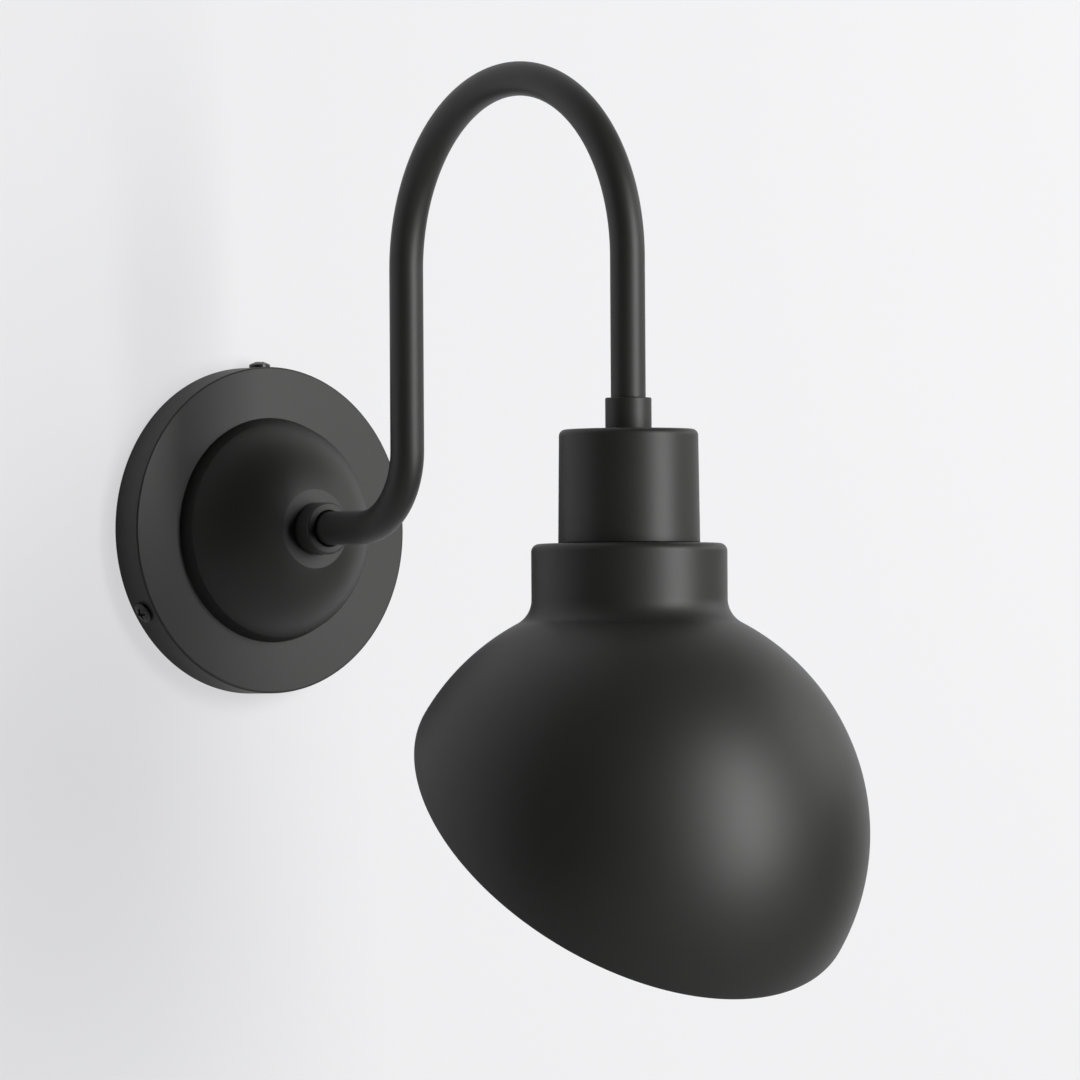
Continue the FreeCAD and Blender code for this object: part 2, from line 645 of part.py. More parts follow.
def shade_ring():
    """Ring nut under the shade's top, with finger notches round its edge."""
    outer_r = RING_DIAMETER / 2.0
    ring = tube(outer_r, HOLDER_R + RUN_GAP, RING_TOP - RING_THICKNESS, RING_TOP)
    for i in range(RING_NOTCH_COUNT):
        angle = i * TAU / RING_NOTCH_COUNT
        notch = Part.makeCylinder(
            RING_NOTCH_RADIUS, RING_THICKNESS,
            V(outer_r * math.cos(angle), outer_r * math.sin(angle), RING_TOP - RING_THICKNESS),
        )
        ring = ring.cut(notch)
    return on_shade_axis(ring)


# ---- leads ------------------------------------------------------------------
def lead(side):
    """Insulated lead through the whole arm; below the nipple it bends out to its terminal."""
    x = side * LEAD_SPACING / 2.0
    start_z = HOLDER_CAP_TOP - HOLDER_CAP_ROOF
    end_z = HOLDER_TOP + LEAD_TERMINAL_GAP
    head_r = TERMINAL_HEAD_DIAMETER / 2.0
    beside = TERMINAL_SPACING / 2.0 - head_r - LEAD_DIAMETER / 2.0 - LEAD_TERMINAL_GAP
    across = beside - LEAD_SPACING / 2.0
    down = start_z - end_z
    turn = 2.0 * math.atan2(across, down)
    bend = down / (2.0 * math.sin(turn))
    half_x = bend * (1.0 - math.cos(turn / 2.0))
    half_z = bend * math.sin(turn / 2.0)
    y = SHADE_AXIS_Y
    middle = V(x + side * across / 2.0, y, start_z - down / 2.0)
    end = V(x + side * across, y, end_z)
    path = arm_path(x, LEAD_END_DISTANCE, start_z)
    path.append(arc_edge(V(x, y, start_z), V(x + side * half_x, y, start_z - half_z), middle))
    path.append(arc_edge(middle, V(end.x - side * half_x, y, end_z + half_z), end))
    return pipe(path, LEAD_DIAMETER / 2.0)


PIECES = {
    "mounting_plate": mounting_plate(),
    "ground_screw": ground_screw(),
    "canopy": canopy(),
    "lock_washer": lock_washer(),
    "canopy_nut": canopy_nut(),
    "canopy_nipple": canopy_nipple(),
    "collar": collar(),
    "gooseneck_arm": gooseneck_arm(),
    "ferrule": ferrule(),
    "cup_nipple": cup_nipple(),
    "cup_nut": cup_nut(),
    "socket_cup": socket_cup(),
    "lampholder_cap": lampholder_cap(),
    "lampholder_body": lampholder_body(),
    "screw_shell": screw_shell(),
    "centre_contact": centre_contact(),
    "terminal_screw_live": terminal_screw(1),
    "terminal_screw_neutral": terminal_screw(-1),
    "shade": shade(),
    "shade_ring": shade_ring(),
    "lead_live": lead(1),
    "lead_neutral": lead(-1),
}
for number, rim_angle in enumerate(rim_angles(), start=1):
    PIECES["rim_screw_%d" % number] = rim_screw(rim_angle)

os.makedirs("parts", exist_ok=True)
for name, shape in PIECES.items():
    if len(shape.Solids) != 1 or not shape.isValid():
        raise ValueError("%s isn't one valid solid" % name)
    shape.Solids[0].exportStep("parts/%s.step" % name)
    box = shape.BoundBox
    print(
        "%-22s %9.0f mm3  x %.1f %.1f  y %.1f %.1f  z %.1f %.1f"
        % (name, shape.Volume, box.XMin, box.XMax, box.YMin, box.YMax, box.ZMin, box.ZMax)
    )
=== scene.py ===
# %% [markdown]
# # A gooseneck wall sconce in satin black
#
# This notebook dresses a wall light: a round domed canopy on the wall, a bent tube, a cup over the
# lampholder and a ball-shaped shade cut at a tilt. The construction model already holds every
# piece at its real size. What it lacks is what the eye reads as metal: curves without facets,
# edges that are a little round, threads, and a finish. So the pieces that show are worked out
# again as smooth surfaces, in place, and every piece gets a material built from nodes.

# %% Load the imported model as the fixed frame
import math

import bmesh
import bpy
import numpy as np
from mathutils import Matrix, Vector


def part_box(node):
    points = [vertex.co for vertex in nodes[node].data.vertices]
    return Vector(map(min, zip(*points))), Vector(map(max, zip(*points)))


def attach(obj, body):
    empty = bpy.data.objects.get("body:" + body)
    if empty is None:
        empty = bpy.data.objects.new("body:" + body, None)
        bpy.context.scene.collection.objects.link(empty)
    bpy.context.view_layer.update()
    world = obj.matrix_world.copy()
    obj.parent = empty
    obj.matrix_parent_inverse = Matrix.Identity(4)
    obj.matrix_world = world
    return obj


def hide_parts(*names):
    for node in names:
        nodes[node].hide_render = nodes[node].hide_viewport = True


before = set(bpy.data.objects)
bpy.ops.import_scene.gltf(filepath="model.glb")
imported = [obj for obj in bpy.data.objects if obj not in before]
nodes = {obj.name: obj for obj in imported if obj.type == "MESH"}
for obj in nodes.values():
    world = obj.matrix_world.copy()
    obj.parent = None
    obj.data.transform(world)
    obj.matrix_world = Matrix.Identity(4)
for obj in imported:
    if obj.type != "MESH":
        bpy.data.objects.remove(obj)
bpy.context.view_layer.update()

MM = 0.001
TAU = 2.0 * math.pi

# %% [markdown]
# ## Where things are
#
# Nothing is fitted by eye: the frame says where each piece lies. A box around a node gives its
# size, so the few numbers written here are only those that a box can't show, such as the radius
# of a rounded edge.

# %% Read the main sizes from the frame
def size_of(node):
    """The node's lowest corner, highest corner and middle, as arrays."""
    low, high = (np.array(corner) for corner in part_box(node))
    return low, high, (low + high) / 2


canopy_low, canopy_high, _ = size_of("canopy")
cup_low, cup_high, cup_middle = size_of("socket_cup")
_, arm_high, _ = size_of("gooseneck_arm")
_, shade_high, _ = size_of("shade")
AXIS_Y = cup_middle[1]
print("shade axis %.1f mm from the wall" % (-AXIS_Y / MM))

# %% [markdown]
# ## The camera
#
# The photograph was taken from far away with a long lens: the canopy's front and back rims are
# almost the same size. The camera stands to the left of the light, 36.9 degrees round from
# straight on, and looks up by about one degree. Where the canopy's centre falls in the frame fixes
# the aim, so the camera's place is worked out from that one point.

# %% Create the camera from the photograph's viewing angle
FRAME_PIXELS = 1080.0
FOCAL_PIXELS = 9800.0
CANOPY_PIXEL = (249.6, 530.8)
CAMERA_DISTANCE = 3.8226
LEFT_DEGREES = 36.9
LOOK_UP_DEGREES = 0.95
ROLL_DEGREES = -0.35
SENSOR_MM = 36.0
CLIP_NEAR, CLIP_FAR = 0.05, 50.0


def photo_camera():
    """A camera whose view axis, roll and aim are the photograph's."""
    side, lift = math.radians(LEFT_DEGREES), math.radians(LOOK_UP_DEGREES)
    forward = Vector(
        (math.sin(side) * math.cos(lift), math.cos(side) * math.cos(lift), math.sin(lift))
    )
    level_right = Vector((math.cos(side), -math.sin(side), 0.0))
    level_up = level_right.cross(forward)
    roll = math.radians(ROLL_DEGREES)
    right = level_right * math.cos(roll) + level_up * math.sin(roll)
    up = level_up * math.cos(roll) - level_right * math.sin(roll)
    across = (CANOPY_PIXEL[0] - FRAME_PIXELS / 2) / FOCAL_PIXELS * CAMERA_DISTANCE
    above = (FRAME_PIXELS / 2 - CANOPY_PIXEL[1]) / FOCAL_PIXELS * CAMERA_DISTANCE
    data = bpy.data.cameras.new("photo_camera")
    data.sensor_width = SENSOR_MM
    data.lens = FOCAL_PIXELS / FRAME_PIXELS * SENSOR_MM
    data.clip_start, data.clip_end = CLIP_NEAR, CLIP_FAR
    camera = bpy.data.objects.new("photo_camera", data)
    turn = Matrix((right, up, -forward)).transposed().to_4x4()
    place = -(forward * CAMERA_DISTANCE + right * across + up * above)
    camera.matrix_world = Matrix.Translation(place) @ turn
    bpy.context.scene.collection.objects.link(camera)
    bpy.context.scene.camera = camera
    return camera


camera = photo_camera()
print("camera at", [round(x, 3) for x in camera.matrix_world.translation])
print("lens %.0f mm" % camera.data.lens)

# %% [markdown]
# ## Shader maths as plain expressions
#
# Node trees are easier to read as formulas. A small class wraps one socket and overloads the
# arithmetic operators, so `1 - wear * 0.2` adds the Math nodes by itself. Every other node comes
# from one method that takes the node's type, its settings, and the values or links of its inputs.

# %% A socket that does arithmetic, and a material that grows nodes
class Sock:
    """One output socket; arithmetic on it adds Math nodes."""

    def __init__(self, tree, socket):
        self.tree, self.socket = tree, socket

    def maths(self, operation, *values):
        """A Math node with the given operation on numbers or sockets."""
        return self.tree.node("ShaderNodeMath", {"operation": operation}, dict(enumerate(values)))

    def __add__(self, other):
        return self.maths("ADD", self, other)

    def __sub__(self, other):
        return self.maths("SUBTRACT", self, other)

    def __mul__(self, other):
        return self.maths("MULTIPLY", self, other)

    def __radd__(self, other):
        return self.maths("ADD", other, self)

    def __rsub__(self, other):
        return self.maths("SUBTRACT", other, self)

    def __rmul__(self, other):
        return self.maths("MULTIPLY", other, self)

    def clamp(self, low, high):
        """min(max(value, low), high)."""
        return self.maths("MINIMUM", self.maths("MAXIMUM", self, low), high)


class Tree:
    """A node tree; node() adds a node and returns its first, or named, output as a Sock."""

    def __init__(self, owner):
        owner.use_nodes = True
        self.nodes, self.links = owner.node_tree.nodes, owner.node_tree.links
        self.nodes.clear()

    def node(self, kind, settings=None, inputs=None, output=0):
        made = self.nodes.new(kind)
        for name, value in (settings or {}).items():
            setattr(made, name, value)
        for name, value in (inputs or {}).items():
            if isinstance(value, Sock):
                self.links.new(value.socket, made.inputs[name])
            else:
                made.inputs[name].default_value = value
        return Sock(self, made.outputs[output]) if made.outputs else None


def grey(value):
    """A neutral colour with full alpha."""
    return (value, value, value, 1.0)


print("shader maths ready: + - * and clamp")

# %% [markdown]
# ## The stage: a pale wall and floor
#
# A wall light hangs on a wall, so the stage is a wall and a floor. The wall is one-sided: seen
# from behind it lets the view through, so that the back of the canopy can be looked at. The
# photograph's background is a very light grey with faint soft shadows. Most of its paleness is
# emission that camera rays see, and mirrored rays more weakly. Diffuse light sees only the paint,
# so the background can be made paler without lighting the object, and it keeps the shadow.

# %% Build the wall and the floor
PAINT_TONE = 0.885
GLOW_COLOUR = (0.856, 0.856, 0.872, 1.0)
SEEN_SHARE = 0.70
MIRRORED_SHARE = 0.26
FLOOR_TONE = 0.30
FLOOR_SHARE = 0.95
WALL_HALF_WIDTH = 2.4
WALL_TOP = 2.2
FLOOR_DROP = 1.15
WALL_BEHIND = 0.0004


def stage_material(name, paint_tone, seen_share):
    """Diffuse paint, mixed with plain emission by seen_share for camera rays and, more weakly, for
    mirrored rays. The back of the sheet lets everything through."""
    made = bpy.data.materials.new(name)
    tree = Tree(made)
    path = tree.node("ShaderNodeLightPath", output="Is Camera Ray")
    glossy = tree.node("ShaderNodeLightPath", output="Is Glossy Ray")
    through = tree.node("ShaderNodeLightPath", output="Is Transmission Ray")
    share = ((path + through) * seen_share + glossy * MIRRORED_SHARE).clamp(0, 1)
    paint = tree.node("ShaderNodeBsdfDiffuse", inputs={"Color": grey(paint_tone)})
    glow = tree.node("ShaderNodeEmission", inputs={"Color": GLOW_COLOUR, "Strength": 1.0})
    front = tree.node("ShaderNodeMixShader", inputs={0: share, 1: paint, 2: glow})
    behind = tree.node("ShaderNodeNewGeometry", output="Backfacing")
    clear = tree.node("ShaderNodeBsdfTransparent", inputs={"Color": grey(1.0)})
    surface = tree.node("ShaderNodeMixShader", inputs={0: behind, 1: front, 2: clear})
    tree.node("ShaderNodeOutputMaterial", inputs={"Surface": surface})
    return made


def stage_sheet(name, corners, material):
    """One flat four-cornered sheet, its front side to the right-hand turn of its corners."""
    mesh = bpy.data.meshes.new(name)
    mesh.from_pydata(corners, [], [(0, 1, 2, 3)])
    mesh.materials.append(material)
    made = bpy.data.objects.new(name, mesh)
    bpy.context.scene.collection.objects.link(made)
    return made


w, back, low = WALL_HALF_WIDTH, WALL_BEHIND, -FLOOR_DROP
wall = stage_sheet(
    "wall",
    [(-w, back, low), (w, back, low), (w, back, WALL_TOP), (-w, back, WALL_TOP)],
    stage_material("wall_paint", PAINT_TONE, SEEN_SHARE),
)
floor = stage_sheet(
    "floor",
    [(-w, -2 * w, low), (w, -2 * w, low), (w, back, low), (-w, back, low)],
    stage_material("floor_paint", FLOOR_TONE, FLOOR_SHARE),
)
print("stage:", wall.name, floor.name)

# %% [markdown]
# ## The light
#
# The highlight on the ball and the faint shadow of the shade on the wall both point to one large
# soft light to the right of the sconce, a little above it. A small weak light further round fills
# the right edges of the cup, and a faint even world fills the rest. Everything else that brightens
# the dark paint is the pale wall, mirrored at grazing angles.

# %% Place the soft key light, the fill and the even world
KEY_RIGHT_DEGREES = 19.0
KEY_UP_DEGREES = 6.0
KEY_DISTANCE = 2.0
KEY_WIDTH = 0.85
KEY_HEIGHT = 1.9
KEY_WATTS = 50.0
FILL_RIGHT_DEGREES = 76.0
FILL_UP_DEGREES = 20.0
FILL_DISTANCE = 1.1
FILL_WIDTH = 0.6
FILL_WATTS = 2.2
WORLD_STRENGTH = 0.04
SEEN_WORLD = 0.86


def area_light(name, right_degrees, up_degrees, distance, width, height, watts):
    """A soft light that faces the lampholder from a direction counted from straight ahead."""
    side, lift = math.radians(right_degrees), math.radians(up_degrees)
    out = Vector(
        (math.sin(side) * math.cos(lift), -math.cos(side) * math.cos(lift), math.sin(lift))
    )
    data = bpy.data.lights.new(name, "AREA")
    data.shape, data.size, data.size_y, data.energy = "RECTANGLE", width, height, watts
    made = bpy.data.objects.new(name, data)
    made.location = Vector((0.0, AXIS_Y, 0.0)) + out * distance
    made.rotation_mode = "QUATERNION"
    made.rotation_quaternion = out.to_track_quat("Z", "Y")
    bpy.context.scene.collection.objects.link(made)
    return made


area_light(
    "key", KEY_RIGHT_DEGREES, KEY_UP_DEGREES, KEY_DISTANCE, KEY_WIDTH, KEY_HEIGHT, KEY_WATTS
)
area_light(
    "fill", FILL_RIGHT_DEGREES, FILL_UP_DEGREES, FILL_DISTANCE, FILL_WIDTH, FILL_WIDTH, FILL_WATTS
)

world = bpy.data.worlds.new("studio")
bpy.context.scene.world = world
tree = Tree(world)
seen = tree.node("ShaderNodeLightPath", output="Is Camera Ray")
through = tree.node("ShaderNodeLightPath", output="Is Transmission Ray")
strength = (seen + through).clamp(0, 1) * (SEEN_WORLD - WORLD_STRENGTH) + WORLD_STRENGTH
sky = tree.node("ShaderNodeBackground", inputs={"Color": grey(1.0), "Strength": strength})
tree.node("ShaderNodeOutputWorld", inputs={"Surface": sky})
bpy.context.scene.view_settings.view_transform = "Standard"
print("key light %.0f W, fill %.1f W" % (KEY_WATTS, FILL_WATTS))

# %% [markdown]
# ## The powder coat
#
# The whole outside of the sconce is one finish: black powder coat, between matt and satin. Real
# powder melts into a skin that is never quite flat, the fine dimple that painters call orange
# peel, and its gloss drifts a little from place to place. Three noises give that: one for the
# dimple, a much finer one for the grain, and a broad one that moves roughness and colour.

# %% Make the black powder coat
COAT_COLOUR = (0.0165, 0.0159, 0.0150)
COAT_ROUGHNESS = 0.50
PEEL_PER_METRE = 900.0
PEEL_DEPTH = 0.0004
GRAIN_PER_METRE = 5200.0
DRIFT_PER_METRE = 26.0
COAT_DARKEST, COAT_LIGHTEST = 0.88, 1.14
PAINT_IOR = 1.5


def mixed(tree, factor, first, second):
    """A colour between two colours: (1 - factor) * first + factor * second."""
    inputs = {0: factor, 6: (*first, 1), 7: (*second, 1)}
    return tree.node("ShaderNodeMix", {"data_type": "RGBA"}, inputs, output=2)


def noise(tree, where, per_metre, detail=2.0):
    """Soft random values from 0 to 1, with per_metre lumps to the metre."""
    inputs = {"Vector": where, "Scale": per_metre, "Detail": detail, "Roughness": 0.55}
    return tree.node("ShaderNodeTexNoise", inputs=inputs)


def powder_coat(name, colour, roughness, peel=0.05):
    """Dark paint whose colour and gloss drift slowly and whose skin is finely dimpled."""
    made = bpy.data.materials.new(name)
    tree = Tree(made)
    where = tree.node("ShaderNodeTexCoord", output="Object")
    drift = noise(tree, where, DRIFT_PER_METRE)
    dimple = noise(tree, where, PEEL_PER_METRE)
    grain = noise(tree, where, GRAIN_PER_METRE, 1.0)
    dark, light = ([c * share for c in colour] for share in (COAT_DARKEST, COAT_LIGHTEST))
    paint = mixed(tree, (drift * 0.7 + grain * 0.3).clamp(0, 1), dark, light)
    skin = tree.node(
        "ShaderNodeBump",
        inputs={"Strength": peel, "Distance": PEEL_DEPTH, "Height": dimple * 0.7 + grain * 0.3},
    )
    shell = tree.node(
        "ShaderNodeBsdfPrincipled",
        inputs={
            "Base Color": paint,
            "Roughness": drift * 0.06 + grain * 0.04 + (roughness - 0.05),
            "Normal": skin,
            "IOR": PAINT_IOR,
        },
    )
    tree.node("ShaderNodeOutputMaterial", inputs={"Surface": shell})
    return made


coat = powder_coat("black_powder_coat", COAT_COLOUR, COAT_ROUGHNESS)
print("finish:", coat.name)

# %% [markdown]
# ## The finishes that hide inside
#
# Look up into the shade or behind the canopy and other finishes appear: zinc-plated steel with
# its faint cloudy spangle, brass, black moulded phenolic, wire insulation and the green of a
# ground screw. Each has its own grain, because one flat colour never reads as a material.

# %% Make the metals and the mouldings
BRUSH_PER_METRE = 900.0
BRUSH_SQUEEZE = 14.0
BRUSH_STRENGTH, BRUSH_DEPTH = 0.10, 0.0002
MOTTLE_PER_METRE = 1400.0
FLOW_PER_METRE = 90.0
MOTTLE_STRENGTH, MOTTLE_DEPTH = 0.08, 0.0003


def plated(name, colour, roughness, cloud_per_metre=160.0):
    """Metal whose tone clouds over, with fine brushing squeezed along Z."""
    made = bpy.data.materials.new(name)
    tree = Tree(made)
    where = tree.node("ShaderNodeTexCoord", output="Object")
    cloud = noise(tree, where, cloud_per_metre, 3.0)
    squeezed = tree.node(
        "ShaderNodeMapping", inputs={"Vector": where, "Scale": (1.0, 1.0, BRUSH_SQUEEZE)}
    )
    brushed = noise(tree, squeezed, BRUSH_PER_METRE, 3.0)
    tint = mixed(tree, cloud, [c * 0.80 for c in colour], [min(1.0, c * 1.12) for c in colour])
    skin = tree.node(
        "ShaderNodeBump",
        inputs={"Strength": BRUSH_STRENGTH, "Distance": BRUSH_DEPTH, "Height": brushed},
    )
    shell = tree.node(
        "ShaderNodeBsdfPrincipled",
        inputs={
            "Base Color": tint, "Metallic": 1.0,
            "Roughness": cloud * 0.16 + brushed * 0.08 + (roughness - 0.1), "Normal": skin,
        },
    )
    tree.node("ShaderNodeOutputMaterial", inputs={"Surface": shell})
    return made


def moulded(name, colour, roughness, speckle=0.25):
    """Moulded plastic: a fine mottle in the colour and a faint sparkle of gloss."""
    made = bpy.data.materials.new(name)
    tree = Tree(made)
    where = tree.node("ShaderNodeTexCoord", output="Object")
    mottle = noise(tree, where, MOTTLE_PER_METRE, 3.0)
    flow = noise(tree, where, FLOW_PER_METRE)
    dark = [c * (1 - speckle) for c in colour]
    tint = mixed(tree, mottle, dark, [min(1.0, c * (1 + speckle)) for c in colour])
    skin = tree.node(
        "ShaderNodeBump",
        inputs={"Strength": MOTTLE_STRENGTH, "Distance": MOTTLE_DEPTH, "Height": mottle},
    )
    shell = tree.node(
        "ShaderNodeBsdfPrincipled",
        inputs={
            "Base Color": tint, "Roughness": flow * 0.15 + (roughness - 0.07),
            "Normal": skin, "IOR": PAINT_IOR,
        },
    )
    tree.node("ShaderNodeOutputMaterial", inputs={"Surface": shell})
    return made


zinc = plated("zinc_plated_steel", (0.66, 0.67, 0.68), 0.36)
brass = plated("bare_brass", (0.83, 0.62, 0.27), 0.28, 220.0)
black_screw = powder_coat("blackened_screw", (0.016, 0.016, 0.017), 0.33, 0.03)
green_screw = plated("green_ground_screw", (0.04, 0.30, 0.10), 0.38, 300.0)
phenolic = moulded("moulded_phenolic", (0.022, 0.021, 0.021), 0.34)
black_wire = moulded("black_wire_insulation", (0.02, 0.02, 0.021), 0.45)
white_wire = moulded("white_wire_insulation", (0.78, 0.77, 0.73), 0.45, 0.04)
print("inner finishes:", zinc.name, brass.name, phenolic.name, black_wire.name, white_wire.name)

# %% [markdown]
# ## Surfaces from formulas
#
# Almost every piece of this light was turned or spun, so it is a profile carried round an axis.
# The profile is a list of corners in the half plane (radius, height). Every corner can be rounded,
# and each gets a ring of points close beside it, so that a flat face keeps its flat shading right
# up to its edge.

# %% Profiles with rounded corners
EASE = 0.15 * MM


def arc(centre, radius, start, end, count):
    """Points at centre + radius * (cos a, sin a), for count angles a from start to end degrees."""
    angle = np.radians(np.linspace(start, end, count))
    return np.stack([centre[0] + radius * np.cos(angle), centre[1] + radius * np.sin(angle)], 1)


def outline(items, count=7):
    """A closed profile from corners (radius, height, rounding) and ready runs of points. A corner
    with rounding f leaves its sides f / tan(half its angle) away and turns on a circle of radius
    f."""
    runs = [item if isinstance(item, np.ndarray) else np.array([item[:2]], float) for item in items]
    made = []
    for i, item in enumerate(items):
        if isinstance(item, np.ndarray):
            made.append(item)
            continue
        here, before, after = runs[i][0], runs[i - 1][-1], runs[(i + 1) % len(runs)][0]
        spans = [np.linalg.norm(before - here), np.linalg.norm(after - here)]
        back, on = (before - here) / spans[0], (after - here) / spans[1]
        half = math.acos(np.clip(back @ on, -1, 1)) / 2
        run = item[2] / math.tan(half)
        near = [min(run + EASE, 0.49 * span) for span in spans]
        made.append((here + back * near[0])[None])
        if item[2] > 0:
            inwards = (back + on) / np.linalg.norm(back + on)
            centre = here + inwards * item[2] / math.sin(half)
            a, b = here + back * run - centre, here + on * run - centre
            turn = math.atan2(a[0] * b[1] - a[1] * b[0], a @ b)
            angle = math.atan2(a[1], a[0]) + np.linspace(0, turn, count)
            made.append(centre + item[2] * np.stack([np.cos(angle), np.sin(angle)], 1))
        else:
            made.append(here[None])
        made.append((here + on * near[1])[None])
    return np.concatenate(made)


print("every corner has a neighbour %.2f mm beside it" % (EASE / MM))

# %% [markdown]
# ### From a grid of points to a mesh
#
# The points of a piece are worked out as one array: a row per profile point, a column per angle.
# A loop that adds one vertex at a time would be slow and hard to read, so whole arrays go into the
# mesh at once. Two slips are easy to make with such a grid, and both are mended here for every
# piece: doubled points at a pole, where a whole row shrinks to one place, and a surface that is
# inside out.

# %% A grid becomes a mesh
MERGE_DISTANCE = 1e-7


def grid_mesh(name, points, material, closed=True):
    """A mesh from a grid of points (rows, columns, xyz): one quad between each four neighbours.
    Rows close on themselves when closed; doubles merge; the faces turn outwards by the sign of the
    enclosed volume."""
    rows, columns = points.shape[:2]
    index = np.arange(rows * columns).reshape(rows, columns)
    upper, lower = (index, np.roll(index, -1, 0)) if closed else (index[:-1], index[1:])
    quads = np.stack([upper, np.roll(upper, -1, 1), np.roll(lower, -1, 1), lower], -1)
    quads = quads.reshape(-1, 4)
    flat = points.reshape(-1, 3)
    a, b, c, d = (flat[quads[:, k]] for k in range(4))
    if (np.cross(a, b) * c).sum() + (np.cross(a, c) * d).sum() < 0:
        quads = quads[:, ::-1]
    mesh = bpy.data.meshes.new(name)
    mesh.vertices.add(len(flat))
    mesh.vertices.foreach_set("co", flat.astype(np.float32).ravel())
    mesh.loops.add(quads.size)
    mesh.loops.foreach_set("vertex_index", quads.astype(np.int32).ravel())
    mesh.polygons.add(len(quads))
    mesh.polygons.foreach_set("loop_start", np.arange(0, quads.size, 4, dtype=np.int32))
    mesh.update(calc_edges=True)
    work = bmesh.new()
    work.from_mesh(mesh)
    bmesh.ops.remove_doubles(work, verts=work.verts, dist=MERGE_DISTANCE)
    work.to_mesh(mesh)
    work.free()
    mesh.shade_smooth()
    mesh.materials.append(material)
    made = bpy.data.objects.new(name, mesh)
    bpy.context.scene.collection.objects.link(made)
    return made


print("grids merge points closer than %.4f mm" % (MERGE_DISTANCE / MM))

# %% [markdown]
# ### The lathe and the sweep
#
# Two helpers make the grids. The lathe carries a profile round an axis, and a shape function may
# change its radius from angle to angle, which cuts threads and notches. The sweep sets a ring
# square to each point of a line, for the tube and the wires.

# %% Turn a profile, or set rings along a line
def along(origin, axis):
    """Placing for turned pieces: (radius, angle, height) goes to origin + height * axis + radius *
    (cos a * u + sin a * v), with u and v square to the axis."""
    axis = np.array(axis, float)
    across = np.cross((0, 0, 1) if abs(axis[2]) < 0.9 else (0, 1, 0), axis)
    across = across / np.linalg.norm(across)
    third = np.cross(axis, across)

    def place(radius, angle, height):
        radius, angle, height = (x[..., None] for x in np.broadcast_arrays(radius, angle, height))
        return origin + height * axis + radius * (np.cos(angle) * across + np.sin(angle) * third)

    return place


upright = along((0, AXIS_Y, 0), (0, 0, 1))
on_wall = along((0, 0, 0), (0, -1, 0))


def lathe(name, profile, place, material, around=160, shape=None, closed=True, angle=None):
    """Every profile point (radius, height) at every angle. shape(radius, angle, height), if given,
    changes the radius, which is how threads and notches are cut."""
    angle = np.linspace(0, TAU, around, endpoint=False) if angle is None else angle
    radius, height = profile[:, :1] + 0 * angle, profile[:, 1:] + 0 * angle
    if shape:
        radius = shape(radius, angle[None, :], height)
    return grid_mesh(name, place(radius, angle[None, :], height), material, closed)


def rings(line, radius, around):
    """Rings square to a line of points (n, 3): p + r * (cos a * n1 + sin a * n2), where n1 is the
    line's direction crossed with X and n2 completes the frame."""
    direction = np.gradient(line, axis=0)
    direction = direction / np.linalg.norm(direction, axis=1)[:, None]
    first = np.cross(direction, (1.0, 0.0, 0.0))
    first = first / np.linalg.norm(first, axis=1)[:, None]
    second = np.cross(direction, first)
    angle = np.linspace(0, TAU, around, endpoint=False)[None, :, None]
    radius = np.broadcast_to(radius, len(line))[:, None, None]
    spokes = np.cos(angle) * first[:, None] + np.sin(angle) * second[:, None]
    return line[:, None] + radius * spokes


def finish_piece(piece, node, body):
    """The piece stands for the node and rides on its body."""
    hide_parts(node)
    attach(piece, body)
    print("%-22s %6d faces" % (piece.name, len(piece.data.polygons)))
    return piece


# %% [markdown]
# ## The canopy
#
# The canopy is spun from one disc of steel: a straight rim against the wall, a flat face, a small
# step, and a dome that is part of a ball, with a flat seat at its top. It could be a cylinder and
# a sphere joined, but then the corners would be dead sharp. As one profile with a rounding at
# each bend, the rim's edge catches the thin line of light that the photograph shows.

# %% Spin the canopy
CANOPY_WALL = 1.5 * MM
FACE_OUT = 14.8 * MM
STEP_FOOT = 43.5 * MM
STEP_TOP = 41.8 * MM
STEP_OUT = 20.8 * MM
SEAT_RADIUS = 15.3 * MM
NIPPLE_HOLE = 5.06 * MM
BALL_GAP = 0.4 * MM


def ball_run(centre, radius, start, end, count=48):
    """The dome's profile between two heights on the ball: angles asin((h - centre) / radius),
    stopping just short of both ends to leave room for the rounded corners."""
    low, high = (math.degrees(math.asin((h - centre) / radius)) for h in (start, end))
    short = math.degrees(BALL_GAP / radius) * (1 if high > low else -1)
    return arc((0, centre), radius, low + short, high - short, count)


def canopy_profile():
    """The ball goes through the step's top and the seat's edge: its centre lies on the axis at
    (R1^2 + h1^2 - R2^2 - h2^2) / 2(h1 - h2)."""
    rim, seat, wall = canopy_high[0], -canopy_low[1], CANOPY_WALL
    centre = (STEP_TOP**2 + STEP_OUT**2 - SEAT_RADIUS**2 - seat**2) / (2 * (STEP_OUT - seat))
    ball = math.hypot(SEAT_RADIUS, seat - centre)
    inner, inner_foot, inner_seat = ball - wall, STEP_TOP - wall, seat - wall
    inner_step = centre + math.sqrt(inner**2 - inner_foot**2)
    inner_radius = math.sqrt(inner**2 - (inner_seat - centre) ** 2)
    return outline([
        (rim, 0, 0.2 * MM), (rim, FACE_OUT, 0.8 * MM), (STEP_FOOT, FACE_OUT, 0.35 * MM),
        (STEP_TOP, STEP_OUT, 0.5 * MM), ball_run(centre, ball, STEP_OUT, seat),
        (SEAT_RADIUS, seat, 0.3 * MM), (NIPPLE_HOLE, seat, 0), (NIPPLE_HOLE, inner_seat, 0),
        (inner_radius, inner_seat, 0.3 * MM), ball_run(centre, inner, inner_seat, inner_step),
        (inner_foot, inner_step, 0.3 * MM), (STEP_FOOT - wall, FACE_OUT - wall, 0.5 * MM),
        (rim - wall, FACE_OUT - wall, 0.6 * MM), (rim - wall, 0, 0.2 * MM),
    ])


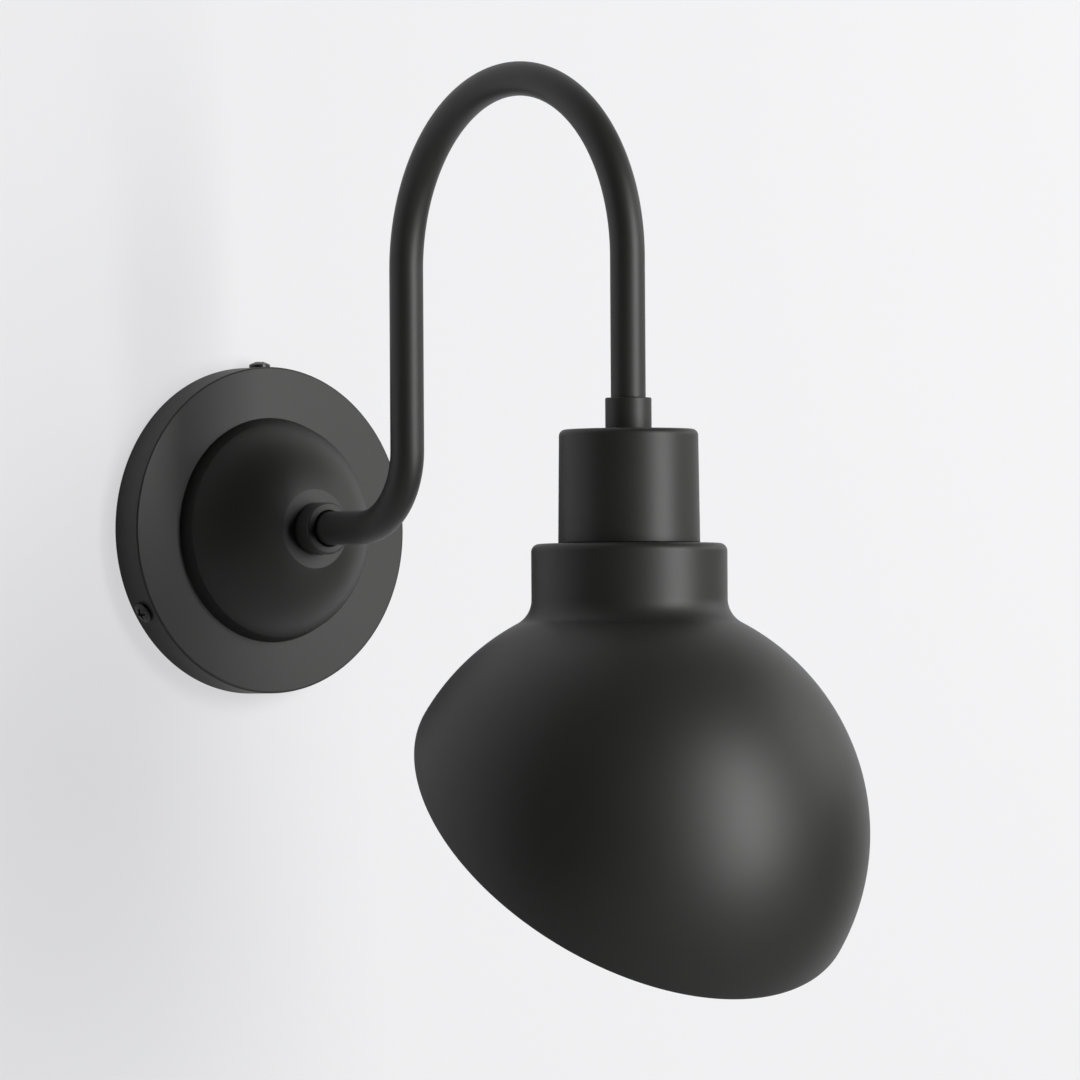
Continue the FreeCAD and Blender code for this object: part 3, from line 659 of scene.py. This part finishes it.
canopy = lathe("canopy_spun", canopy_profile(), on_wall, coat, 256)
finish_piece(canopy, "canopy", "fixture")

# %% [markdown]
# ## The collar, the ferrule and the cup
#
# Three more turned pieces. The collar has a flared mouth, which leaves the thin dark ring round
# the tube. The ferrule is a plain short sleeve with a crisp top edge. The cup is drawn from
# sheet, so its top edge is a generous round and its side widens very slightly downwards.

# %% Turn collar, ferrule and cup
ARM_RADIUS = arm_high[0]
ARM_HOLE = ARM_RADIUS + 0.06 * MM
MOUTH_RADIUS = 7.15 * MM
MOUTH_DEPTH = 1.4 * MM
COLLAR_SOCKET = 5.4 * MM
FERRULE_SOCKET = 5.8 * MM
CUP_WALL = 1.2 * MM
CUP_TAPER = 0.5 * MM


def collar_profile():
    """Outside from the seat to the front, in at the flared mouth, down the arm's socket."""
    low, high, _ = size_of("collar")
    outer, seat, front = high[0], -high[1], -low[1]
    mouth_end, socket_end = front - MOUTH_DEPTH, front - COLLAR_SOCKET
    return outline([
        (outer, seat, 0.2 * MM), (outer, front, 0.9 * MM), (MOUTH_RADIUS, front, 0.3 * MM),
        (ARM_HOLE, mouth_end, 0.3 * MM), (ARM_HOLE, socket_end, 0),
        (NIPPLE_HOLE, socket_end, 0), (NIPPLE_HOLE, seat, 0),
    ])


def ferrule_profile():
    """A plain sleeve: the arm's socket from above, the nipple's hole through its floor."""
    low, high, _ = size_of("ferrule")
    outer, bottom, top = high[0], low[2], high[2]
    return outline([
        (outer, bottom, 0.2 * MM), (outer, top, 0.45 * MM), (ARM_HOLE, top, 0.15 * MM),
        (ARM_HOLE, top - FERRULE_SOCKET, 0), (NIPPLE_HOLE, top - FERRULE_SOCKET, 0),
        (NIPPLE_HOLE, bottom, 0),
    ])


def cup_profile():
    """Down the tapered side and back up one wall further in, with concentric rounds at the top."""
    outer, bottom, top = cup_high[0], cup_low[2], cup_high[2]
    narrow, wall = outer - CUP_TAPER, CUP_WALL
    return outline([
        (NIPPLE_HOLE, top, 0), (narrow, top, 2.4 * MM), (outer, bottom, 0.3 * MM),
        (outer - wall, bottom, 0.3 * MM), (narrow - wall, top - wall, 1.4 * MM),
        (NIPPLE_HOLE, top - wall, 0),
    ], 12)


collar = lathe("collar_turned", collar_profile(), on_wall, coat, 128)
finish_piece(collar, "collar", "fixture")
ferrule = lathe("ferrule_turned", ferrule_profile(), upright, coat, 128)
finish_piece(ferrule, "ferrule", "fixture")
cup = lathe("socket_cup_drawn", cup_profile(), upright, coat, 200)
finish_piece(cup, "socket_cup", "fixture")

# %% [markdown]
# ## The gooseneck
#
# The arm is one tube bent on a former: straight out of the wall, a quarter turn up, a straight
# rise, a half turn over the top, and a straight fall. A curve object with a round bevel would do,
# but its rings bunch up at the bends. Here the centre line is worked out run by run from its
# heading, so the rings are evenly spaced, and the tube is hollow like the real one.

# %% Bend the arm
RISE_OUT = 104.6 * MM
BEND_RADIUS = 29.1 * MM
ARCH_RADIUS = (-AXIS_Y - RISE_OUT) / 2
ARCH_HEIGHT = 97.5 * MM
TUBE_WALL = 1.2 * MM
RING_SPACING = 1.1 * MM


def arm_line(x, start_out, end_height, spacing):
    """The centre line in the plane X = x. Along a run of curvature k that begins with heading h0,
    out grows by (sin h - sin h0) / k and height by (cos h0 - cos h) / k, with h = h0 + k * s."""
    quarter = math.pi / 2
    runs = [
        (RISE_OUT - BEND_RADIUS - start_out, 0.0), (BEND_RADIUS * quarter, 1 / BEND_RADIUS),
        (ARCH_HEIGHT - BEND_RADIUS, 0.0), (ARCH_RADIUS * math.pi, -1 / ARCH_RADIUS),
        (ARCH_HEIGHT - end_height, 0.0),
    ]
    out, height, heading, made = start_out, 0.0, 0.0, [np.array([[start_out, 0.0]])]
    for length, bend in runs:
        s = np.linspace(0, length, max(2, round(length / spacing)) + 1)[1:]
        h = heading + bend * s
        if bend:
            o, z = (np.sin(h) - math.sin(heading)) / bend, (math.cos(heading) - np.cos(h)) / bend
        else:
            o, z = s * math.cos(heading), s * math.sin(heading)
        made.append(np.stack([out + o, height + z], 1))
        (out, height), heading = made[-1][-1], h[-1]
    line = np.concatenate(made)
    return np.stack([np.full(len(line), x), -line[:, 0], line[:, 1]], 1)


def bent_tube(name, material, around=80):
    """Outer rings down the tube and inner rings back: a closed grid."""
    end_height = size_of("ferrule")[1][2] - FERRULE_SOCKET
    line = arm_line(0.0, -arm_high[1], end_height, RING_SPACING)
    outer, inner = (rings(line, r, around) for r in (ARM_RADIUS, ARM_RADIUS - TUBE_WALL))
    return grid_mesh(name, np.concatenate([outer, inner[::-1]]), material)


arm = bent_tube("gooseneck_bent", coat)
finish_piece(arm, "gooseneck_arm", "fixture")

# %% [markdown]
# ## The shade
#
# The shade is spun over a ball-shaped former and then cut off along a slanting plane, so that
# its mouth looks down and back to the wall. It could be a full ball with a boolean cut, but that
# leaves a ragged edge of thin triangles. Instead each meridian stops where it meets the plane:
# for the meridian at angle a, the ball's point at depth b under the equator lies on the plane
# when sin(tilt) sin(a) cos(b) + cos(tilt) sin(b) = -inset / radius, which solves in one line.
# The rows of the grid then run along the cut by themselves, and a half round closes the lip.

# %% Spin the shade and cut its mouth
BALL_RADIUS = shade_high[0]
SHADE_WALL = 1.2 * MM
NECK_RADIUS = 36.35 * MM
NECK_ROUND = 3.0 * MM
NECK_FILLET = 10.0 * MM
SHADE_TOP = float(shade_high[2])
BALL_CENTRE = SHADE_TOP - 107.5 * MM
CUT_TILT = math.radians(43.6)
CUT_INSET = 1.3 * MM
HOLDER_HOLE = 20.1 * MM


def neck_run(neck, ball, fillet, top, corner, count=16):
    """Profile from the top edge down the neck and round the fillet to where it touches the ball,
    and the ball's depth angle there. The fillet's centre is a fillet's radius outside both."""
    reach = ball + fillet
    centre = (neck + fillet, BALL_CENTRE + math.sqrt(reach**2 - (neck + fillet) ** 2))
    touch = math.atan2(centre[1] - BALL_CENTRE, centre[0])
    shoulder = arc((neck - corner, top - corner), corner, 90, 0, count)
    shoulder = np.concatenate([shoulder[:1] - [[EASE, 0]], shoulder, shoulder[-1:] - [[0, EASE]]])
    sweep = arc(centre, fillet, 180, 180 + math.degrees(touch), count * 2)
    return np.concatenate([shoulder, sweep[:1] + [[0, EASE]], sweep]), -touch


def cut_depth(angle, ball):
    """Depth angle b under the equator where the meridian at angle a meets the cutting plane."""
    across, down = np.sin(angle) * math.sin(CUT_TILT), math.cos(CUT_TILT)
    return -np.arctan2(across, down) - np.arcsin(CUT_INSET / ball / np.hypot(across, down))


def shade_points(around=320, rows=96):
    """Rows of the grid, from the holder's hole over the neck and down the ball's outside, round
    the lip, and back up inside."""
    angle = np.linspace(0, TAU, around, endpoint=False)[None, :]
    inner_ball, lip = BALL_RADIUS - SHADE_WALL, SHADE_WALL / 2
    outer_run, outer_touch = neck_run(NECK_RADIUS, BALL_RADIUS, NECK_FILLET, SHADE_TOP, NECK_ROUND)
    inner_run, inner_touch = neck_run(
        NECK_RADIUS - SHADE_WALL, inner_ball, NECK_FILLET + SHADE_WALL,
        SHADE_TOP - SHADE_WALL, NECK_ROUND - SHADE_WALL,
    )
    middle_ball = BALL_RADIUS - lip
    end = cut_depth(angle, middle_ball) - lip / middle_ball
    share = np.linspace(0, 1, rows)[1:, None]
    turn = np.radians(np.linspace(0, 180, 11)[1:-1])[:, None]

    def on_ball(radius, depth):
        return upright(radius * np.cos(depth), angle, BALL_CENTRE - radius * np.sin(depth))

    def turned(run):
        return upright(run[:, :1], angle, run[:, 1:])

    hole = np.array([[HOLDER_HOLE, SHADE_TOP - SHADE_WALL], [HOLDER_HOLE, SHADE_TOP]])
    return np.concatenate([
        turned(outer_run),
        on_ball(BALL_RADIUS, outer_touch + (end - outer_touch) * share),
        on_ball(middle_ball + lip * np.cos(turn), end + lip * np.sin(turn) / middle_ball),
        on_ball(inner_ball, inner_touch + (end - inner_touch) * share[::-1]),
        turned(inner_run[::-1]),
        turned(hole),
    ])


shade = grid_mesh("shade_spun", shade_points(), coat)
finish_piece(shade, "shade", "shade")

# %% [markdown]
# ## Screws with a driven recess
#
# Three black pan head screws hold the canopy. Smaller ones of the same form sit on the mounting
# plate and on the lampholder's terminals. The head is a turned surface, but the cross recess isn't
# round. So the height of each point of the head is lowered by a smooth step wherever its place
# falls inside one of the two bars of the cross.

# %% Turn the screws
DRIVE_WIDTH = 1.1 * MM
DRIVE_LENGTH = 4.6 * MM
DRIVE_DEPTH = 1.2 * MM
DRIVE_SOFT = 0.14 * MM
SIDE_SHARE = 0.45
PLATE_FRONT = 2.0 * MM
TERMINAL_SIDE = 11.5 * MM


def step_up(x):
    """Smooth step: 0 below -1/2, 1 above 1/2, 3t^2 - 2t^3 between."""
    t = np.clip(x + 0.5, 0, 1)
    return t * t * (3 - 2 * t)


def inside_cross(x, y):
    """1 inside either bar of the cross, 0 outside: the larger of the two bars' products of one
    smooth step across and one along."""

    def bar(across, on):
        sides = step_up((DRIVE_WIDTH / 2 - abs(across)) / DRIVE_SOFT)
        return sides * step_up((DRIVE_LENGTH / 2 - abs(on)) / DRIVE_SOFT)

    return np.maximum(bar(x, y), bar(y, x))


def pan_screw(name, place, head, height, shank, length, material, around=112):
    """Head crowned by a ball of radius (head^2 + rise^2) / (2 rise), rounded side, plain shank;
    the grid runs from pole to pole."""
    side = height * SIDE_SHARE
    crown = (head**2 + (height - side) ** 2) / (2 * (height - side))
    drive = np.linspace(0, DRIVE_LENGTH / 2 + DRIVE_SOFT, 40)
    reach = np.concatenate([drive, [head * 0.9, head - 0.25 * MM]])
    top = np.stack([reach, height - crown + np.sqrt(crown**2 - reach**2)], 1)
    rest = outline([
        top[-1:], (head, side, 0.12 * MM), (head, 0, 0.1 * MM), (shank, 0, 0),
        (shank, -length, 0.3 * MM), np.array([[0, -length]]),
    ])[1:]
    profile = np.concatenate([top, rest])
    angle = np.linspace(0, TAU, around, endpoint=False)[None, :]
    radius, level = profile[:, :1] + 0 * angle, profile[:, 1:] + 0 * angle
    cross = inside_cross(radius * np.cos(angle), radius * np.sin(angle)) * (level > side * 0.99)
    level = level + cross * (np.minimum(level, height - DRIVE_DEPTH) - level)
    return grid_mesh(name, place(radius, angle, level), material, closed=False)


def rim_place(degrees):
    """On the canopy's rim, halfway between wall and face, pointing away from its axis."""
    x, z = math.cos(math.radians(degrees)), math.sin(math.radians(degrees))
    return along((canopy_high[0] * x, -FACE_OUT / 2, canopy_high[0] * z), (x, 0, z))


for number, degrees in enumerate((90, 210, 330), start=1):
    name, place = "rim_screw_%d" % number, rim_place(degrees)
    screw = pan_screw(name + "_head", place, 4.1 * MM, 2.3 * MM, 2.0 * MM, 5.8 * MM, black_screw)
    finish_piece(screw, name, "fixture")

ground_x, _, ground_z = size_of("ground_screw")[2]
place = along((ground_x, -PLATE_FRONT, ground_z), (0, -1, 0))
screw = pan_screw(
    "ground_screw_head", place, 3.8 * MM, 2.0 * MM, 2.0 * MM, 1.8 * MM, green_screw
)
finish_piece(screw, "ground_screw", "fixture")

for side, pole, metal, slot in (
    (1, "live", brass, "shell_brass"), (-1, "neutral", zinc, "plated_steel"),
):
    place = along((side * TERMINAL_SIDE, AXIS_Y, size_of("lampholder_body")[1][2]), (0, 0, 1))
    name = "terminal_screw_" + pole
    terminal = pan_screw(name + "_head", place, 3.0 * MM, 2.0 * MM, 1.6 * MM, 4.5 * MM, metal)
    finish_piece(terminal, name, "fixture")

# %% [markdown]
# ## Threads and nuts
#
# Two hollow threaded nipples hold the light together: one clamps the collar to the canopy, the
# other hangs the cup and the lampholder from the ferrule. A thread is a groove that climbs one
# pitch per turn, so its depth depends only on height / pitch - angle / turn. The nuts are turned
# blanks whose radius never passes the hexagon's side. At an angle d from the middle of a side, that
# side lies half the width across flats / cos(d) from the axis.

# %% Cut the threads and the nuts
NIPPLE_RADIUS = 5.0 * MM
NIPPLE_BORE = 3.4 * MM
NIPPLE_PITCH = 1.0 * MM
NIPPLE_GROOVE = 0.45 * MM
NUT_FLATS = 14.0 * MM
NUT_HEIGHT = 3.5 * MM


def groove(height, angle, pitch):
    """Triangle wave of the thread's phase: 0 on the crest, 1 in the root."""
    phase = height / pitch - angle / TAU
    return 2 * np.abs(phase - np.floor(phase + 0.5))


def nipple(name, node, place, bottom, top):
    """A tube with chamfered ends; outside, the radius is r - depth * groove."""
    radius, bore = NIPPLE_RADIUS, NIPPLE_BORE
    levels = np.arange(bottom + 0.4 * MM, top - 0.4 * MM, NIPPLE_PITCH / 9)
    profile = outline([
        (bore, top, 0.1 * MM), (bore, bottom, 0.1 * MM), (radius, bottom, 0.3 * MM),
        np.stack([0 * levels + radius, levels], 1), (radius, top, 0.3 * MM),
    ])

    def thread(r, a, h):
        return np.where(r > radius * 0.98, r - NIPPLE_GROOVE * groove(h, a, NIPPLE_PITCH), r)

    piece = lathe(name, profile, place, zinc, 72, thread)
    finish_piece(piece, node, "fixture")


def hex_nut(name, node, place, bottom):
    """The blank's radius or the flat's distance / cos(angle from its middle), the smaller of the
    two; the blank's faces fall off by half of what the corners stand out."""
    corner, flat, top = NUT_FLATS / math.sqrt(3), NUT_FLATS / 2, bottom + NUT_HEIGHT
    turned = corner - flat
    rise = np.linspace(0, 1, 9)[:, None] * [turned, turned / 2]
    profile = np.concatenate([
        outline([
            (NIPPLE_HOLE, top, 0.15 * MM), (NIPPLE_HOLE, bottom, 0.15 * MM),
            np.array([[flat, bottom]]),
        ])[:-1],
        [flat, bottom] + rise, ([flat, top] + rise * [1, -1])[::-1],
    ])
    sides = np.radians([-30, -29.4, -20, -10, 0, 10, 20, 29.4])
    angle = (np.arange(6)[:, None] * TAU / 6 + sides).ravel()

    def hexagon(r, a, h):
        off = (a + TAU / 12) % (TAU / 6) - TAU / 12
        return np.minimum(r, flat / np.cos(off))

    piece = lathe(name, profile, place, zinc, shape=hexagon, angle=angle)
    finish_piece(piece, node, "fixture")


low, high, _ = size_of("canopy_nipple")
nipple("canopy_nipple_threaded", "canopy_nipple", on_wall, -high[1], -low[1])
low, high, _ = size_of("cup_nipple")
nipple("cup_nipple_threaded", "cup_nipple", upright, low[2], high[2])
hex_nut("canopy_nut_hex", "canopy_nut", on_wall, -size_of("canopy_nut")[1][1])
hex_nut("cup_nut_hex", "cup_nut", upright, size_of("cup_nut")[0][2])

# %% [markdown]
# ## The lampholder
#
# Looking up into the shade, the eye meets the lampholder: a black moulded sleeve with a coarse
# outer thread for the shade ring, a brass screw shell pressed from sheet, and the sprung centre
# contact. The shell's thread is rolled, so it is a sine wave that both its faces follow.

# %% Mould the holder's cap and body
HOLDER_RADIUS = 19.8 * MM
HOLDER_PITCH = 2.4 * MM
HOLDER_GROOVE = 0.6 * MM
THREAD_TOP = -11.0 * MM
CAP_WALL = 2.2 * MM
CAP_ROOF = 4.0 * MM
SHELL_ROOM = 13.91 * MM
HOLDER_FLOOR = -4.9 * MM
STEM_HOLE = 1.55 * MM
LIP_RADIUS = 12.05 * MM


def between(height, low, high, soft):
    """1 from low to high, fading to 0 over a length soft beyond them."""
    return step_up((height - low) / soft) * step_up((high - height) / soft)


def holder_cap():
    """A cup upside down: an outer and an inner cylinder with the nipple's hole in the roof."""
    low, high, _ = size_of("lampholder_cap")
    inner, roof = HOLDER_RADIUS - CAP_WALL, high[2] - CAP_ROOF
    profile = outline([
        (NIPPLE_HOLE, high[2], 0.2 * MM), (HOLDER_RADIUS, high[2], 2.2 * MM),
        (HOLDER_RADIUS, low[2], 0.2 * MM), (inner, low[2], 0.2 * MM),
        (inner, roof, 0.6 * MM), (NIPPLE_HOLE, roof, 0.2 * MM),
    ])
    return lathe("lampholder_cap_moulded", profile, upright, phenolic, 160)


def holder_body():
    """A thick sleeve round the shell's room; its thread is cut where r lies on the outside, by
    the groove's phase with both flanks softened into a flat crest and root."""
    low, high, _ = size_of("lampholder_body")
    bottom, top, room, stem = low[2], high[2], SHELL_ROOM, STEM_HOLE
    shoulder, floor = size_of("screw_shell")[1][2], HOLDER_FLOOR
    levels = np.arange(top - 1.0 * MM, bottom + 1.0 * MM, -HOLDER_PITCH / 10)
    profile = outline([
        (HOLDER_RADIUS, top, 0.3 * MM), np.stack([0 * levels + HOLDER_RADIUS, levels], 1),
        (HOLDER_RADIUS, bottom, 0.6 * MM), (room, bottom, 0.5 * MM), (room, shoulder, 0),
        (LIP_RADIUS, shoulder, 0.2 * MM), (LIP_RADIUS, floor, 0.5 * MM), (stem, floor, 0.1 * MM),
        (stem, top, 0.1 * MM),
    ])

    def thread(r, a, h):
        cut = HOLDER_GROOVE * step_up(groove(h, a, HOLDER_PITCH) * 1.6 - 0.8)
        fade = between(h, bottom + 2 * MM, THREAD_TOP, 1.5 * MM)
        return np.where(r > HOLDER_RADIUS - 0.8 * MM, r - cut * fade, r)

    return lathe("lampholder_body_moulded", profile, upright, phenolic, 176, thread)


finish_piece(holder_cap(), "lampholder_cap", "fixture")
finish_piece(holder_body(), "lampholder_body", "fixture")

# %% Roll the screw shell
SHELL_OUTER = 13.85 * MM
SHELL_INNER = 13.25 * MM
SHELL_PITCH = 3.63 * MM
SHELL_WAVE = 0.75 * MM


def shell_rolled():
    """Two cylinders, one wall apart, both bent inwards by the same wave."""
    low, high, _ = size_of("screw_shell")
    bottom, top, wall = low[2], high[2], SHELL_OUTER - SHELL_INNER
    levels = np.arange(bottom + 0.6 * MM, top - 1.0 * MM, SHELL_PITCH / 14)
    profile = outline([
        (SHELL_OUTER, bottom, 0.2 * MM), np.stack([0 * levels + SHELL_OUTER, levels], 1),
        (SHELL_OUTER, top, 0.5 * MM), (LIP_RADIUS, top, 0.1 * MM),
        (LIP_RADIUS, top - wall, 0.1 * MM), (SHELL_INNER, top - wall, 0.1 * MM),
        np.stack([0 * levels + SHELL_INNER, levels], 1)[::-1],
        (SHELL_INNER, bottom, 0.2 * MM),
    ])

    def wave(r, a, h):
        """r - depth * (1 - cos(2 pi h / pitch - a)) / 2, fading out towards both ends."""
        dip = SHELL_WAVE * (1 - np.cos(TAU * h / SHELL_PITCH - a)) / 2
        fade = between(h, bottom + 2.5 * MM, top - 3 * MM, 3 * MM)
        return np.where(r > SHELL_INNER - 0.25 * MM, r - dip * fade, r)

    return lathe("screw_shell_rolled", profile, upright, brass, 144, wave)


finish_piece(shell_rolled(), "screw_shell", "fixture")

# %% Press the contact and cut the ring
CONTACT_THICKNESS = 0.8 * MM
CONTACT_STEM = 1.5 * MM
RING_RADIUS = 25.0 * MM
RING_BORE = 19.85 * MM
NOTCH_RADIUS = 1.6 * MM
NOTCHES = 12
NOTCH_COLUMNS = 36


def contact_button():
    """A button whose face bulges with the square of the radius, on a plain stem."""
    low, high, _ = size_of("centre_contact")
    bottom, top, radius, stem = low[2], high[2], high[0], CONTACT_STEM
    rim = bottom + CONTACT_THICKNESS
    crown = np.linspace(0, 0.8, 12) * radius
    profile = np.concatenate([
        np.stack([crown, bottom + 0.15 * MM * (crown / radius) ** 2], 1),
        outline([
            np.array([[0.8 * radius, bottom + 0.1 * MM]]), (radius, bottom + 0.2 * MM, 0.15 * MM),
            (radius, rim, 0.15 * MM), (stem, rim, 0), (stem, top, 0.2 * MM), np.array([[0, top]]),
        ])[1:],
    ])
    return lathe("centre_contact_button", profile, upright, brass, 96, closed=False)


def notched_ring():
    """A flat ring; the cut is full at the rim and fades to nothing at the bore."""
    low, high, _ = size_of("shade_ring")
    bottom, top, bore = low[2], high[2], RING_BORE
    profile = outline([
        (bore, top, 0.4 * MM), (bore, bottom, 0.4 * MM),
        (RING_RADIUS, bottom, 0.8 * MM), (RING_RADIUS, top, 0.8 * MM),
    ])

    def notch(r, a, h):
        """A circle of radius n about a point of the rim cuts the rim, at angle d from that point,
        back to R cos(d) - sqrt(n^2 - R^2 sin(d)^2)."""
        off = (a + TAU / NOTCHES / 2) % (TAU / NOTCHES) - TAU / NOTCHES / 2
        inside = NOTCH_RADIUS**2 - (RING_RADIUS * np.sin(off)) ** 2
        edge = RING_RADIUS * np.cos(off) - np.sqrt(np.maximum(inside, 0))
        depth = np.where(inside > 0, RING_RADIUS - edge, 0)
        return r - depth * np.clip((r - bore) / (RING_RADIUS - bore), 0, 1)

    return lathe("shade_ring_notched", profile, upright, phenolic, NOTCHES * NOTCH_COLUMNS, notch)


finish_piece(contact_button(), "centre_contact", "contact")
finish_piece(notched_ring(), "shade_ring", "fixture")

# %% [markdown]
# ## The leads
#
# Two insulated leads run side by side through the whole arm, drop out of the lower nipple and part
# to their terminals. They follow the arm's own centre line, shifted sideways; the last stretch
# swings out as half a cosine wave, which leaves and arrives straight.

# %% Draw the leads
LEAD_RADIUS = 1.1 * MM
LEAD_OFFSET = 1.45 * MM
LEAD_START_OUT = 6.0 * MM
LEAD_GAP = 0.1 * MM
LEAD_RING_SPACING = 1.6 * MM
TERMINAL_HEAD = 3.0 * MM
CAP_SHARES = np.array([0.0, 0.85])[:, None, None]


def lead(name, node, side, material):
    """The arm's line moved by the offset, then a fall whose sideways place is offset + swing *
    (1 - cos(pi t)) / 2; both ends are closed by a smaller ring and a point."""
    start, end = size_of("cup_nipple")[0][2], size_of("lampholder_body")[1][2] + LEAD_GAP
    swing = TERMINAL_SIDE - TERMINAL_HEAD - LEAD_RADIUS - LEAD_GAP - LEAD_OFFSET
    line = arm_line(side * LEAD_OFFSET, LEAD_START_OUT, start, LEAD_RING_SPACING)
    t = np.linspace(0, 1, 20)[1:]
    tail = np.stack([
        side * (LEAD_OFFSET + swing * (1 - np.cos(math.pi * t)) / 2),
        np.full(len(t), AXIS_Y),
        start + (end - start) * t,
    ], 1)
    line = np.concatenate([line, tail])
    radius = np.full(len(line), LEAD_RADIUS)
    middle = rings(line, radius, 20)
    first, last = (line[k] + (middle[k] - line[k]) * CAP_SHARES for k in (0, -1))
    points = np.concatenate([first, middle, last[::-1]])
    finish_piece(grid_mesh(name, points, material, closed=False), node, "fixture")


lead("lead_live_wire", "lead_live", 1, black_wire)
lead("lead_neutral_wire", "lead_neutral", -1, white_wire)

# %% [markdown]
# ## The plate and the washer
#
# The mounting plate is a stamped and bent sheet, so its construction mesh is already its true
# form. Only its edges are too sharp: a narrow bevel breaks them, as a deburring wheel does.

# %% Break the plate's edges and give both their plating
BEVEL_FROM_DEGREES = 40.0


def dress(node, material, edge):
    """Keeps the node's mesh; its edges are broken by a bevel of the given width."""
    made = nodes[node]
    made.data.materials.clear()
    made.data.materials.append(material)
    bevel = made.modifiers.new("broken_edges", "BEVEL")
    bevel.width, bevel.segments, bevel.limit_method = edge, 2, "ANGLE"
    bevel.angle_limit = math.radians(BEVEL_FROM_DEGREES)
    bevel.harden_normals = True


dress("mounting_plate", zinc, 0.2 * MM)
dress("lock_washer", zinc, 0.1 * MM)
print("plated: mounting_plate, lock_washer")
